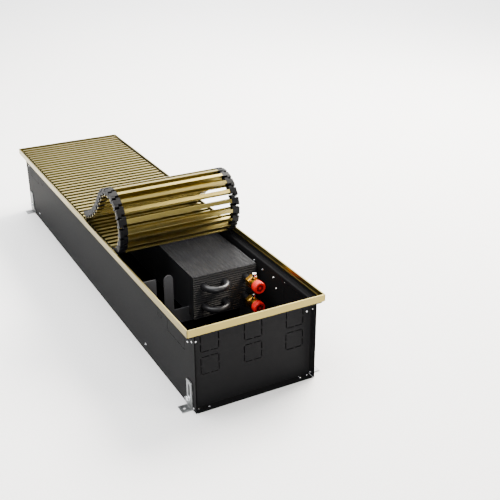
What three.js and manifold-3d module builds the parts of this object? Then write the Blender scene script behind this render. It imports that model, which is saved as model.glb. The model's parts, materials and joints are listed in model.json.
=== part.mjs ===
// Trench convector heater with a roll-up slatted grille.
// Millimetres, +Z up, +X along the trench towards the connection end, floor at Z = 0,
// origin under the middle of the casing.
import * as THREE from 'three';
import { mergeVertices } from 'three/addons/utils/BufferGeometryUtils.js';
import Module from 'manifold-3d';

const wasm = await Module();
wasm.setup();

// ---- driving dimensions -----------------------------------------------------------

// whole heater
const overall_length = 1250; // outside the trim frame
const overall_width = 312.8;
const overall_height = 200; // floor to the frame's top edge
const touch_gap = 0.3; // between pieces that touch

// casing sheet
const sheet = 1.2;
const side_overhang = 16.6; // frame beyond the long side
const end_overhang = 5.4; // frame beyond the casing's end
const end_recess = 18.3; // end plate behind the casing's end

// trim frame
const frame_height = 16;
const frame_wall = 3;
const hook_depth = 1.8; // small inner hook that sits on the casing's upstand
const hook_thickness = 2;
const hook_drop = 10.7; // hook's top below the frame's top
const mitre_gap = 0.22;

// roll-up grille
const slat_pitch = 20.2;
const slat_height = 18;
const slat_width = 9;
const slat_flange = 2;
const slat_web = 2.4;
const slat_side_gap = 8.4; // from a slat's end to the frame's outer face
const slat_end_gap = 19; // from the frame's outer face to the first slat's middle
const slat_drop = 2; // slat tops below the frame's top
const rolled_slats = 21;
const tie_rod = 4.4; // square rod that strings the flat slats
const tie_rod_inset = 20.5; // from the slats' ends

// plastic links at both slat ends
const link_reach = 17; // inwards from the slats' ends
const link_inner_lap = 9.5; // width of the inner half lap; the outer one takes the rest
const link_height = 12;
const link_end_gap = 3.5; // from a hinge line to the link's body
const lug_radius = 3.2;
const hinge_drop = 4; // hinge line below the slat tops
const comb_strip = 2;

// how the grille is rolled back
const curl_deg = 18; // turn at each hinge of the round part
const curl_hinges = 12;
const ease_turns_deg = [12, 2]; // turns where the round part runs out
const free_end_gap = 0.4; // above the flat slats

// heat exchanger
const near_bay = 249; // from the frame's near end to the exchanger
const far_bay = 75; // from the frame's far end to the exchanger
const exchanger_width = 159;
const exchanger_height = 105;
const exchanger_wall_gap = 8.6;
const exchanger_grille_gap = 10;
const end_sheet = 2;
const side_plate = 1.5;
const fin_pitch = 30;
const fin_thickness = 2;
const fin_margin = 6; // from the end sheets to the first and last fins
const fin_rail = 6; // square rail that carries the fins
const tube_radius = 7.5;
const tube_clearance = 0.7;
const tube_low = 28.5; // lower row above the exchanger's underside
const tube_row_pitch = 51;
const tube_right_inset = 28; // outer column in from the exchanger's right side
const tube_left_inset = 26; // inner column in from its left side
const bend_lead = 6; // straight tube before each bend
const stub_length = 24; // pipe from the end sheet to the union nut

// connection valves
const nut_flats = 27;
const nut_length = 13.7;
const body_radius = 11;
const body_length = 10;
const collar_radius = 13;
const collar_length = 6;
const thread_radius = 10;
const thread_length = 13;
const port_radius = 6;
const vent_boss_radius = 6;
const vent_boss_height = 17;
const vent_radius = 5;
const vent_height = 8.5;
const cap_radius = 14.2;
const cap_length = 16.5;
const cap_recess_radius = 8;
const cap_recess_depth = 1.5;

// transverse brackets that carry the exchanger
const bracket_thickness = 1.5;
const bracket_near_inset = 28; // in from the exchanger's near end
const bracket_far_inset = 30;
const bracket_tab_width = 32.3;
const bracket_tab_drop = 6; // below the slats
const bracket_tab_corner = 4;
const bracket_slot_width = 18;
const bracket_slot_floor = 5; // below the exchanger's underside
const bracket_post_width = 22;
const bracket_post_drop = 3; // below the slats
const bracket_shelf_rise = 22; // above the exchanger's underside
const bracket_side_web = 38.3; // beside the window
const bracket_top_web = 15; // over the window
const bracket_foot_web = 11; // under the window

// adjustable feet and their clamp bolts
const foot_inset = 27.6; // from the casing's end to the foot's middle
const foot_width = 24;
const foot_height = 65;
const foot_thickness = 2;
const foot_tab = 21;
const foot_slot_half = 3.3;
const foot_slot_low_z = 20.4;
const foot_slot_high_z = 56;
const foot_hole_radius = 3.5;
const foot_ear_length = 14;
const foot_ear_low_z = 3;
const foot_ear_high_z = 14;
const bolt_z = 24;
const bolt_radius = 2.9;
const bolt_inner_length = 5;
const bolt_hole_radius = 3.3;
const washer_radius = 6.5;
const washer_thickness = 1.4;
const bolt_head_flats = 10;
const bolt_head_height = 4;

// ---- worked-out places ------------------------------------------------------------

const casing_y = overall_width / 2 - side_overhang;
const casing_x = overall_length / 2 - end_overhang;
const wall_inner_y = casing_y - sheet;
const panel_y = wall_inner_y - touch_gap; // what stands between the long sides
const plate_x = casing_x - end_recess;
const foot_x = casing_x - foot_inset;
const slat_half_length = overall_width / 2 - slat_side_gap;
const tie_rod_y = slat_half_length - tie_rod_inset;
const link_inner_y = slat_half_length - link_reach;
const link_outer_y = slat_half_length + comb_strip;
const link_split_y = link_inner_y + link_inner_lap;
const slat_top_z = overall_height - slat_drop;
const slat_bottom_z = slat_top_z - slat_height;
const shelf_z = slat_bottom_z - touch_gap;
const hook_top_z = overall_height - hook_drop;
const hook_bottom_z = hook_top_z - hook_thickness;
const upstand_z = hook_bottom_z - touch_gap;
const upstand_y = overall_width / 2 - frame_wall - touch_gap;
const upstand_x = overall_length / 2 - frame_wall - touch_gap;
const hinge_z = slat_top_z - hinge_drop;
const first_slat_x = slat_end_gap - overall_length / 2;
const all_slats = Math.round((-2 * first_slat_x) / slat_pitch) + 1;
const flat_slats = all_slats - rolled_slats;
const last_flat_x = first_slat_x + (flat_slats - 1) * slat_pitch;
const first_hinge_x = last_flat_x + slat_pitch / 2;
const exchanger_near_x = overall_length / 2 - near_bay;
const exchanger_far_x = far_bay - overall_length / 2;
const exchanger_right_y = wall_inner_y - exchanger_wall_gap;
const exchanger_left_y = exchanger_right_y - exchanger_width;
const exchanger_top_z = slat_bottom_z - exchanger_grille_gap;
const exchanger_bottom_z = exchanger_top_z - exchanger_height;
const lower_tube_z = exchanger_bottom_z + tube_low;
const tube_rows_z = [lower_tube_z, lower_tube_z + tube_row_pitch];
const valve_y = exchanger_right_y - tube_right_inset;
const tube_column_pitch = (exchanger_width - tube_right_inset - tube_left_inset) / 2;
const tube_columns_y = [valve_y - 2 * tube_column_pitch, valve_y - tube_column_pitch, valve_y];
const bracket_near_x = exchanger_near_x - bracket_near_inset;
const bracket_far_x = exchanger_far_x + bracket_far_inset;
const half_gap = touch_gap / 2;

// ---- materials --------------------------------------------------------------------

function finish(color, roughness, metalness) {
  return new THREE.MeshStandardMaterial({ color, roughness, metalness });
}

const champagne = finish(0xbfae78, 0.35, 1);
const black_sheet = finish(0x2c2c2e, 0.55, 0.1);
const black_fins = finish(0x26272a, 0.6, 0.2);
const black_plastic = finish(0x1c1d20, 0.5, 0);
const zinc = finish(0xb9bcc0, 0.4, 1);
const brass = finish(0xc9a255, 0.3, 1);
const nickel = finish(0xd9d7cf, 0.25, 1);
const red_plastic = finish(0xc41f1a, 0.4, 0);

// ---- solids -----------------------------------------------------------------------

// A closed three.js geometry as a solid that can be joined and cut.
function solid(geometry) {
  const plain = geometry.clone();
  plain.deleteAttribute('normal');
  plain.deleteAttribute('uv');
  const merged = mergeVertices(plain, 1e-4);
  const vertProperties = new Float32Array(merged.attributes.position.array);
  const triVerts = new Uint32Array(merged.index.array);
  return new wasm.Manifold(new wasm.Mesh({ numProp: 3, vertProperties, triVerts }));
}

// A joined or cut solid back as a three.js geometry.
function surface(body) {
  const mesh = body.getMesh();
  const geometry = new THREE.BufferGeometry();
  geometry.setAttribute('position', new THREE.BufferAttribute(new Float32Array(mesh.vertProperties), 3));
  geometry.setIndex(new THREE.BufferAttribute(new Uint32Array(mesh.triVerts), 1));
  geometry.computeVertexNormals();
  return geometry;
}

function join(bodies) {
  return bodies.reduce((sum, body) => sum.add(body));
}

function outline(points, holes = []) {
  const shape = new THREE.Shape(points.map(([u, v]) => new THREE.Vector2(u, v)));
  for (const hole of holes) {
    shape.holes.push(new THREE.Path(hole.map(([u, v]) => new THREE.Vector2(u, v))));
  }
  return shape;
}

function extrude(shape, depth) {
  return new THREE.ExtrudeGeometry(shape, { depth, bevelEnabled: false, curveSegments: 1 });
}

// An outline of (y, z) points, drawn out from x0 to x1.
function alongX(points, x0, x1, holes) {
  const turn = new THREE.Matrix4().set(0, 0, 1, x0, 1, 0, 0, 0, 0, 1, 0, 0, 0, 0, 0, 1);
  return solid(extrude(outline(points, holes), x1 - x0).applyMatrix4(turn));
}

// An outline of (x, z) points, drawn out from y0 to y1.
function alongY(points, y0, y1, holes) {
  const turn = new THREE.Matrix4().set(1, 0, 0, 0, 0, 0, -1, y1, 0, 1, 0, 0, 0, 0, 0, 1);
  return solid(extrude(outline(points, holes), y1 - y0).applyMatrix4(turn));
}

// An outline of (x, y) points, drawn out from z0 to z1.
function alongZ(points, z0, z1, holes) {
  return solid(extrude(outline(points, holes), z1 - z0).translate(0, 0, z0));
}

function rectangle(u0, u1, v0, v1) {
  return [[u0, v0], [u1, v0], [u1, v1], [u0, v1]];
}

function block(x0, x1, y0, y1, z0, z1) {
  return alongX(rectangle(y0, y1, z0, z1), x0, x1);
}

// Points of an arc about (u, v), in degrees.
function arc(u, v, radius, from, to, steps) {
  return Array.from({ length: steps + 1 }, (_, i) => {
    const angle = THREE.MathUtils.degToRad(from + ((to - from) * i) / steps);
    return [u + radius * Math.cos(angle), v + radius * Math.sin(angle)];
  });
}

function polygon(u, v, radius, sides, start = 0) {
  return arc(u, v, radius, start, start + 360, sides).slice(0, sides);
}

// A polygon whose flats stay outside the radius, for a hole round a faceted rod.
function hole(u, v, radius, sides) {
  return polygon(u, v, radius / Math.cos(Math.PI / sides), sides, 180 / sides);
}

function hexagon(u, v, flats) {
  return polygon(u, v, flats / Math.sqrt(3), 6, 30);
}

// Two matching rings of points joined into one closed prism.
function prism(ringA, ringB, flatRing) {
  const count = ringA.length;
  const index = [];
  const faces = THREE.ShapeUtils.triangulateShape(flatRing.map(([u, v]) => new THREE.Vector2(u, v)), []);
  for (const [a, b, c] of faces) {
    index.push(a, c, b, count + a, count + b, count + c);
  }
  for (let i = 0; i < count; i += 1) {
    const next = (i + 1) % count;
    index.push(i, next, count + next, i, count + next, count + i);
  }
  const geometry = new THREE.BufferGeometry();
  geometry.setAttribute('position', new THREE.Float32BufferAttribute([...ringA, ...ringB].flat(), 3));
  geometry.setIndex(index);
  const body = solid(geometry);
  return body.volume() < 0 ? solid(flipped(geometry)) : body;
}

function flipped(geometry) {
  const turned = geometry.clone();
  const index = turned.index.array;
  for (let i = 0; i < index.length; i += 3) {
    [index[i], index[i + 1]] = [index[i + 1], index[i]];
  }
  return turned;
}

// A round tube through stations that each have a place and a direction.
function sweep(stations, radius, sides) {
  const rings = [];
  let side = new THREE.Vector3(0, 0, 1);
  for (const { place, direction } of stations) {
    side = side.clone().addScaledVector(direction, -side.dot(direction)).normalize();
    const other = new THREE.Vector3().crossVectors(direction, side);
    rings.push(polygon(0, 0, radius, sides).map(([u, v]) =>
      place.clone().addScaledVector(side, u).addScaledVector(other, v).toArray()));
  }
  const position = rings.flat();
  const index = [];
  for (let ring = 0; ring + 1 < rings.length; ring += 1) {
    for (let i = 0; i < sides; i += 1) {
      const a = ring * sides + i;
      const b = ring * sides + ((i + 1) % sides);
      index.push(a, b, b + sides, a, b + sides, a + sides);
    }
  }
  const last = (rings.length - 1) * sides;
  for (let i = 1; i + 1 < sides; i += 1) {
    index.push(0, i + 1, i, last, last + i, last + i + 1);
  }
  const geometry = new THREE.BufferGeometry();
  geometry.setAttribute('position', new THREE.Float32BufferAttribute(position.flat(), 3));
  geometry.setIndex(index);
  return solid(geometry);
}

function mirrored(body, x, y) {
  return body.scale([x, y, 1]);
}

function named(name, body, material) {
  const mesh = new THREE.Mesh(surface(body), material);
  mesh.name = name;
  return mesh;
}

const heater = new THREE.Group();

// ---- casing -----------------------------------------------------------------------

// One long side: a wall and the outward shelf that the grille lies on, bent from one sheet.
function sidePanel(side) {
  const section = [
    [wall_inner_y, 0],
    [casing_y, 0],
    [casing_y, shelf_z - sheet],
    [upstand_y, shelf_z - sheet],
    [upstand_y, shelf_z],
    [wall_inner_y, shelf_z],
  ];
  let panel = alongX(section, -casing_x, casing_x);
  for (const x of [-foot_x, foot_x]) {
    const bore = hole(x, bolt_z, bolt_hole_radius, 8);
    panel = panel.subtract(alongY(bore, wall_inner_y - sheet, casing_y + sheet));
  }
  return mirrored(panel, 1, side);
}

// One end: a pan whose flanges all turn outwards.
function endPlate(end) {
  const inner_x = plate_x - sheet;
  const pan = join([
    block(inner_x, plate_x, -panel_y, panel_y, 0, shelf_z),
    block(inner_x, casing_x, panel_y - sheet, panel_y, 0, shelf_z),
    block(inner_x, casing_x, -panel_y, sheet - panel_y, 0, shelf_z),
    block(inner_x, casing_x, -panel_y, panel_y, 0, sheet),
    block(inner_x, upstand_x, -panel_y, panel_y, shelf_z - sheet, shelf_z),
  ]);
  return mirrored(pan, end, 1);
}

function bottomPanel() {
  const half_x = plate_x - sheet - touch_gap;
  return block(-half_x, half_x, -panel_y, panel_y, 0, sheet);
}

// Upright strips on the shelf, which the trim frame hooks over.
function sideCarrier(side) {
  const strip = block(-upstand_x, upstand_x, upstand_y - sheet, upstand_y, shelf_z + touch_gap, upstand_z);
  return mirrored(strip, 1, side);
}

function endCarrier(end) {
  const half_y = upstand_y - sheet - touch_gap;
  const strip = block(upstand_x - sheet, upstand_x, -half_y, half_y, shelf_z + touch_gap, upstand_z);
  return mirrored(strip, end, 1);
}

heater.add(named('side_panel_left', sidePanel(-1), black_sheet));
heater.add(named('side_panel_right', sidePanel(1), black_sheet));
heater.add(named('end_plate_near', endPlate(1), black_sheet));
heater.add(named('end_plate_far', endPlate(-1), black_sheet));
heater.add(named('bottom_panel', bottomPanel(), black_sheet));
heater.add(named('frame_carrier_left', sideCarrier(-1), black_sheet));
heater.add(named('frame_carrier_right', sideCarrier(1), black_sheet));
heater.add(named('frame_carrier_near', endCarrier(1), black_sheet));
heater.add(named('frame_carrier_far', endCarrier(-1), black_sheet));

// ---- trim frame -------------------------------------------------------------------

// The rail's section as (distance in from the outer face, z).
const rail_section = [
  [0, overall_height - frame_height],
  [frame_wall, overall_height - frame_height],
  [frame_wall, hook_bottom_z],
  [frame_wall + hook_depth, hook_bottom_z],
  [frame_wall + hook_depth, hook_top_z],
  [frame_wall, hook_top_z],
  [frame_wall, overall_height],
  [0, overall_height],
];

function sideRail(side) {
  const y = (d) => side * (overall_width / 2 - d);
  const x = (d) => overall_length / 2 - d - mitre_gap;
  const near = rail_section.map(([d, z]) => [x(d), y(d), z]);
  const far = rail_section.map(([d, z]) => [-x(d), y(d), z]);
  return prism(near, far, rail_section);
}

function endRail(end) {
  const x = (d) => end * (overall_length / 2 - d);
  const y = (d) => overall_width / 2 - d - mitre_gap;
  const right = rail_section.map(([d, z]) => [x(d), y(d), z]);
  const left = rail_section.map(([d, z]) => [x(d), -y(d), z]);
  return prism(right, left, rail_section);
}

heater.add(named('frame_rail_left', sideRail(-1), champagne));
heater.add(named('frame_rail_right', sideRail(1), champagne));
heater.add(named('frame_rail_near', endRail(1), champagne));
heater.add(named('frame_rail_far', endRail(-1), champagne));

// ---- roll-up grille ---------------------------------------------------------------

// Double-T slat across the trench, about x, with its top at z.
function slat(x, z) {
  const half = slat_width / 2;
  const web = slat_web / 2;
  const low = z - slat_height;
  const section = [
    [x - half, low], [x + half, low], [x + half, low + slat_flange], [x + web, low + slat_flange],
    [x + web, z - slat_flange], [x + half, z - slat_flange], [x + half, z], [x - half, z],
    [x - half, z - slat_flange], [x - web, z - slat_flange], [x - web, low + slat_flange],
    [x - half, low + slat_flange],
  ];
  return alongY(section, -slat_half_length, slat_half_length);
}

function flatSlats() {
  const pieces = Array.from({ length: flat_slats }, (_, i) => slat(first_slat_x + i * slat_pitch, slat_top_z));
  const middle_z = slat_top_z - slat_height / 2;
  for (const side of [-1, 1]) {
    const y = side * tie_rod_y;
    const low = middle_z - tie_rod / 2;
    pieces.push(block(first_slat_x, last_flat_x, y - tie_rod / 2, y + tie_rod / 2, low, low + tie_rod));
  }
  return join(pieces);
}

// The links of the flat slats: a strip past the slat ends with a spacer in every gap,
// and the half-lap lug that carries the first rolled slat.
function flatLinks(side) {
  const first = first_slat_x - slat_width / 2;
  const edge = slat_width / 2 + touch_gap;
  const strip_y = slat_half_length + touch_gap;
  const end_x = first_hinge_x - link_end_gap;
  const comb = [[first, strip_y + comb_strip], [first, strip_y]];
  for (let i = 0; i + 1 < flat_slats; i += 1) {
    const x = first_slat_x + i * slat_pitch;
    comb.push([x + edge, strip_y], [x + edge, link_inner_y]);
    comb.push([x + slat_pitch - edge, link_inner_y], [x + slat_pitch - edge, strip_y]);
  }
  comb.push([last_flat_x + edge, strip_y], [last_flat_x + edge, link_inner_y]);
  comb.push([end_x, link_inner_y], [end_x, strip_y + comb_strip]);
  const strip = alongZ(comb, slat_bottom_z, slat_bottom_z + link_height);
  const lug = [
    [last_flat_x + edge, slat_bottom_z],
    [end_x, slat_bottom_z],
    [end_x, hinge_z - lug_radius],
    ...arc(first_hinge_x, hinge_z, lug_radius, -90, 90, 3),
    [last_flat_x + edge, hinge_z + lug_radius - 1],
  ];
  return mirrored(strip.add(alongY(lug, link_inner_y, link_split_y - half_gap)), 1, side);
}

// One link, in the frame of its slat: the hinge to the slat before is at the origin.
function link(lugFirst, lugLast) {
  const body_high = link_height - slat_height + hinge_drop;
  const body_low = hinge_drop - slat_height;
  const near = link_end_gap;
  const far = slat_pitch - link_end_gap;
  const head = slat_pitch / 2 - slat_width / 2;
  const bare = rectangle(near, far, body_low, body_high);
  const lapped = [
    ...arc(0, 0, lug_radius, 90, 270, 3),
    [near, -lug_radius],
    [near, body_low],
    [far, body_low],
    [far, body_high],
    [head, body_high],
    [near, lug_radius],
  ];
  const turned = lapped.map(([x, z]) => [slat_pitch - x, z]).reverse();
  const pieces = [alongY(bare, link_inner_y, link_outer_y)];
  if (lugFirst) {
    pieces.push(alongY(lapped, link_split_y + half_gap, link_outer_y));
  }
  if (lugLast) {
    pieces.push(alongY(turned, link_inner_y, link_split_y - half_gap));
  }
  return join(pieces);
}

// A rolled slat with its two links, in the frame of its first hinge.
function rolledSlat(isLast) {
  const piece = link(true, !isLast);
  return join([slat(slat_pitch / 2, hinge_drop), piece, mirrored(piece, 1, -1)]);
}

// Turn at each hinge, in degrees. The last ones straighten the grille by the amount that
// lays its free end on the flat slats.
function hingeTurns() {
  const fixed = [...Array(curl_hinges).fill(curl_deg), ...ease_turns_deg];
  const rest = rolled_slats - fixed.length;
  let low = -curl_deg;
  let high = curl_deg;
  for (let i = 0; i < 60; i += 1) {
    const middle = (low + high) / 2;
    if (lowestTop([...fixed, ...Array(rest).fill(-middle)]) < slat_top_z + free_end_gap) {
      low = middle;
    } else {
      high = middle;
    }
  }
  return [...fixed, ...Array(rest).fill(-high)];
}

// Lowest corner of the slat tops that hang over the flat slats.
function lowestTop(turns) {
  let [x, z, heading] = [first_hinge_x, hinge_z, 0];
  let lowest = Infinity;
  for (const turn of turns) {
    heading += THREE.MathUtils.degToRad(turn);
    for (const reach of [(slat_pitch - slat_width) / 2, (slat_pitch + slat_width) / 2]) {
      const corner = z + reach * Math.sin(heading) + hinge_drop * Math.cos(heading);
      lowest = heading > Math.PI ? Math.min(lowest, corner) : lowest;
    }
    x += slat_pitch * Math.cos(heading);
    z += slat_pitch * Math.sin(heading);
  }
  return lowest;
}

heater.add(named('grille_flat_slats', flatSlats(), champagne));
heater.add(named('grille_links_left', flatLinks(-1), black_plastic));
heater.add(named('grille_links_right', flatLinks(1), black_plastic));

// Each rolled slat hangs on the one before it.
let carrier = new THREE.Group();
carrier.position.set(first_hinge_x, 0, hinge_z);
heater.add(carrier);
hingeTurns().forEach((turn, i) => {
  const isLast = i === rolled_slats - 1;
  const joint = new THREE.Group();
  joint.rotation.y = -THREE.MathUtils.degToRad(turn);
  joint.add(named(`rolled_slat_${String(i + 1).padStart(2, '0')}`, rolledSlat(isLast), champagne));
  carrier.add(joint);
  const next = new THREE.Group();
  next.position.set(slat_pitch, 0, 0);
  joint.add(next);
  carrier = next;
});

// ---- heat exchanger ---------------------------------------------------------------

// Fins on one rail, each slotted from its right edge for the two rows of tubes.
function finPack() {
  const x0 = exchanger_far_x + end_sheet + fin_margin;
  const run = exchanger_near_x - end_sheet - fin_margin - fin_thickness - x0;
  const fins = Math.floor(run / fin_pitch) + 1;
  const channel = tube_radius + tube_clearance;
  const [low_row, high_row] = tube_rows_z;
  const root_y = tube_columns_y[0] - channel;
  const left = exchanger_left_y + side_plate + touch_gap;
  const right = exchanger_right_y - side_plate - touch_gap;
  const fin = [
    [left, exchanger_bottom_z],
    [right, exchanger_bottom_z],
    [right, low_row - channel],
    [root_y, low_row - channel],
    [root_y, low_row + channel],
    [right, low_row + channel],
    [right, high_row - channel],
    [root_y, high_row - channel],
    [root_y, high_row + channel],
    [right, high_row + channel],
    [right, exchanger_top_z],
    [left, exchanger_top_z],
  ];
  const rail_y = (left + root_y) / 2;
  const rail_z = (low_row + high_row) / 2;
  const half = fin_rail / 2;
  const pieces = [block(x0, x0 + run + fin_thickness, rail_y - half, rail_y + half, rail_z - half, rail_z + half)];
  for (let i = 0; i < fins; i += 1) {
    const x = x0 + (i * run) / (fins - 1);
    pieces.push(alongX(fin, x, x + fin_thickness));
  }
  return join(pieces);
}

function exchangerSide(y) {
  const x0 = exchanger_far_x + end_sheet + touch_gap;
  const x1 = exchanger_near_x - end_sheet - touch_gap;
  return block(x0, x1, y, y + side_plate, exchanger_bottom_z, exchanger_top_z);
}

function endSheet(x) {
  const bores = tube_rows_z.flatMap((z) => tube_columns_y.map((y) => hole(y, z, tube_radius + touch_gap, 8)));
  const plate = rectangle(exchanger_left_y, exchanger_right_y, exchanger_bottom_z, exchanger_top_z);
  return alongX(plate, x, x + end_sheet, bores);
}

// The water tube: one serpentine from the upper valve to the lower one.
function waterTube() {
  const [low_z, high_z] = tube_rows_z;
  const [inner, middle, outer] = tube_columns_y;
  const passes = [[outer, high_z], [middle, high_z], [inner, high_z], [inner, low_z], [middle, low_z], [outer, low_z]];
  const near = exchanger_near_x + bend_lead;
  const far = exchanger_far_x - bend_lead;
  const start_x = exchanger_near_x + stub_length;
  const stations = [];
  passes.forEach(([y, z], i) => {
    const outward = i % 2 === 0 ? -1 : 1;
    const from = i === 0 ? start_x : outward < 0 ? near : far;
    const to = i === passes.length - 1 ? start_x : outward < 0 ? far : near;
    const direction = new THREE.Vector3(outward, 0, 0);
    stations.push({ place: new THREE.Vector3(from, y, z), direction });
    stations.push({ place: new THREE.Vector3(to, y, z), direction });
    if (i + 1 < passes.length) {
      const [next_y, next_z] = passes[i + 1];
      const across = new THREE.Vector3(0, next_y - y, next_z - z);
      const radius = across.length() / 2;
      const centre = new THREE.Vector3(to, (y + next_y) / 2, (z + next_z) / 2);
      across.normalize();
      for (const angle of [30, 60, 90, 120, 150]) {
        const turn = THREE.MathUtils.degToRad(angle);
        const place = centre.clone().addScaledVector(across, -radius * Math.cos(turn));
        place.x += outward * radius * Math.sin(turn);
        const heading = across.clone().multiplyScalar(Math.sin(turn));
        heading.x = outward * Math.cos(turn);
        stations.push({ place, direction: heading });
      }
    }
  });
  return sweep(stations, tube_radius, 8);
}

heater.add(named('fin_pack', finPack(), black_fins));
heater.add(named('exchanger_side_left', exchangerSide(exchanger_left_y), black_fins));
heater.add(named('exchanger_side_right', exchangerSide(exchanger_right_y - side_plate), black_fins));
heater.add(named('end_sheet_near', endSheet(exchanger_near_x - end_sheet), black_fins));
heater.add(named('end_sheet_far', endSheet(exchanger_far_x), black_fins));
heater.add(named('water_tube', waterTube(), black_fins));

// ---- connection valves ------------------------------------------------------------

const nut_x = exchanger_near_x + stub_length + touch_gap;
const body_x = nut_x + nut_length;
const collar_x = body_x + body_length;
const thread_x = collar_x + collar_length;
const port_x = thread_x + thread_length;
const vent_x = body_x + body_length / 2;

function valveBody(z) {
  const ring = (radius, x0, x1, sides) => alongX(polygon(valve_y, z, radius, sides), x0, x1);
  const boss = polygon(vent_x, valve_y, vent_boss_radius, 10);
  return join([
    alongX(hexagon(valve_y, z, nut_flats), nut_x, body_x),
    ring(body_radius, body_x, collar_x, 12),
    ring(collar_radius, collar_x, thread_x, 12),
    ring(thread_radius, thread_x, port_x, 12),
    alongZ(boss, z, z + vent_boss_height),
  ]).subtract(ring(port_radius, collar_x, port_x + 1, 10));
}

function ventScrew(z) {
  const low = z + vent_boss_height + touch_gap;
  const slot = block(vent_x - vent_radius, vent_x + vent_radius, valve_y - 0.6, valve_y + 0.6,
    low + vent_height - 1.5, low + vent_height + 1);
  return alongZ(polygon(vent_x, valve_y, vent_radius, 10), low, low + vent_height).subtract(slot);
}

function dustCap(z) {
  const x0 = thread_x + touch_gap;
  const x1 = x0 + cap_length;
  const inside = hole(valve_y, z, thread_radius + touch_gap, 12);
  const recess = alongX(hexagon(valve_y, z, 2 * cap_recess_radius), x1 - cap_recess_depth, x1 + 1);
  return alongX(polygon(valve_y, z, cap_radius, 16), x0, x1)
    .subtract(alongX(inside, x0 - 1, port_x + touch_gap))
    .subtract(recess);
}

[['lower', tube_rows_z[0]], ['upper', tube_rows_z[1]]].forEach(([level, z]) => {
  heater.add(named(`valve_body_${level}`, valveBody(z), brass));
  heater.add(named(`vent_screw_${level}`, ventScrew(z), nickel));
  heater.add(named(`dust_cap_${level}`, dustCap(z), red_plastic));
});

// ---- brackets under the exchanger -------------------------------------------------

function bracket(x) {
  const low_z = sheet + touch_gap;
  const left = exchanger_left_y - touch_gap;
  const right = exchanger_right_y + touch_gap;
  const tab_y = bracket_tab_width - panel_y;
  const tab_z = slat_bottom_z - bracket_tab_drop;
  const slot_z = exchanger_bottom_z - bracket_slot_floor;
  const shelf = exchanger_bottom_z + bracket_shelf_rise;
  const post_half = bracket_post_width / 2;
  const post_y = tab_y + bracket_slot_width + post_half;
  const post_z = slat_bottom_z - bracket_post_drop - post_half;
  const section = [
    [-panel_y, low_z],
    [panel_y, low_z],
    [panel_y, shelf],
    [right, shelf],
    [right, exchanger_bottom_z - touch_gap],
    [left, exchanger_bottom_z - touch_gap],
    [left, shelf],
    [post_y + post_half, shelf],
    ...arc(post_y, post_z, post_half, 0, 180, 6),
    [post_y - post_half, slot_z],
    [tab_y, slot_z],
    ...arc(tab_y - bracket_tab_corner, tab_z - bracket_tab_corner, bracket_tab_corner, 0, 90, 2),
    [-panel_y, tab_z],
  ];
  const window_y = panel_y - bracket_side_web;
  const window_z = low_z + bracket_foot_web;
  const window = rectangle(-window_y, window_y, window_z, exchanger_bottom_z - bracket_top_web);
  return alongX(section, x, x + bracket_thickness, [window]);
}

heater.add(named('bracket_near', bracket(bracket_near_x), black_sheet));
heater.add(named('bracket_far', bracket(bracket_far_x), black_sheet));

// ---- feet -------------------------------------------------------------------------

const foot_inner_y = casing_y + touch_gap;
const foot_outer_y = foot_inner_y + foot_thickness;

// A slotted leg with an ear, bent out into a floor tab with a hole.
function foot(end, side) {
  const half = foot_width / 2;
  const leg = [
    [foot_x - half, 0],
    [foot_x + half, 0],
    [foot_x + half, foot_height],
    [foot_x - half, foot_height],
    [foot_x - half, foot_ear_high_z],
    [foot_x - half - foot_ear_length, foot_ear_high_z - 2],
    [foot_x - half - foot_ear_length, foot_ear_low_z + 2],
    [foot_x - half, foot_ear_low_z],
  ];
  const slot = [
    ...arc(foot_x, foot_slot_low_z + foot_slot_half, foot_slot_half, 180, 360, 4),
    ...arc(foot_x, foot_slot_high_z - foot_slot_half, foot_slot_half, 0, 180, 4),
  ];
  const tab_y = (foot_outer_y + foot_tab / 2) + 1;
  const tab = rectangle(foot_x - half, foot_x + half, foot_inner_y, foot_outer_y + foot_tab);
  const shape = alongY(leg, foot_inner_y, foot_outer_y, [slot])
    .add(alongZ(tab, 0, foot_thickness, [hole(foot_x, tab_y, foot_hole_radius, 8)]));
  return mirrored(shape, end, side);
}

function clampBolt(end, side) {
  const washer_y = foot_outer_y + touch_gap;
  const head_y = washer_y + washer_thickness;
  const bolt = join([
    alongY(polygon(foot_x, bolt_z, bolt_radius, 8), wall_inner_y - bolt_inner_length, head_y),
    alongY(polygon(foot_x, bolt_z, washer_radius, 12), washer_y, head_y),
    alongY(hexagon(foot_x, bolt_z, bolt_head_flats), head_y, head_y + bolt_head_height),
  ]);
  return mirrored(bolt, end, side);
}

for (const [end_name, end] of [['near', 1], ['far', -1]]) {
  for (const [side_name, side] of [['left', -1], ['right', 1]]) {
    heater.add(named(`foot_${end_name}_${side_name}`, foot(end, side), zinc));
    heater.add(named(`clamp_bolt_${end_name}_${side_name}`, clampBolt(end, side), zinc));
  }
}

export default heater;
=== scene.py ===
"""Looks of the trench convector heater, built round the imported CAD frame.

Lengths in the classes are millimetres; meshes are turned to metres once, in new_object.
"""

import json
import logging
import math
from collections.abc import Callable, Sequence
from dataclasses import dataclass, replace
from enum import Enum

import bmesh
import bpy
from mathutils import Matrix, Vector
from mathutils.geometry import tessellate_polygon


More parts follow.
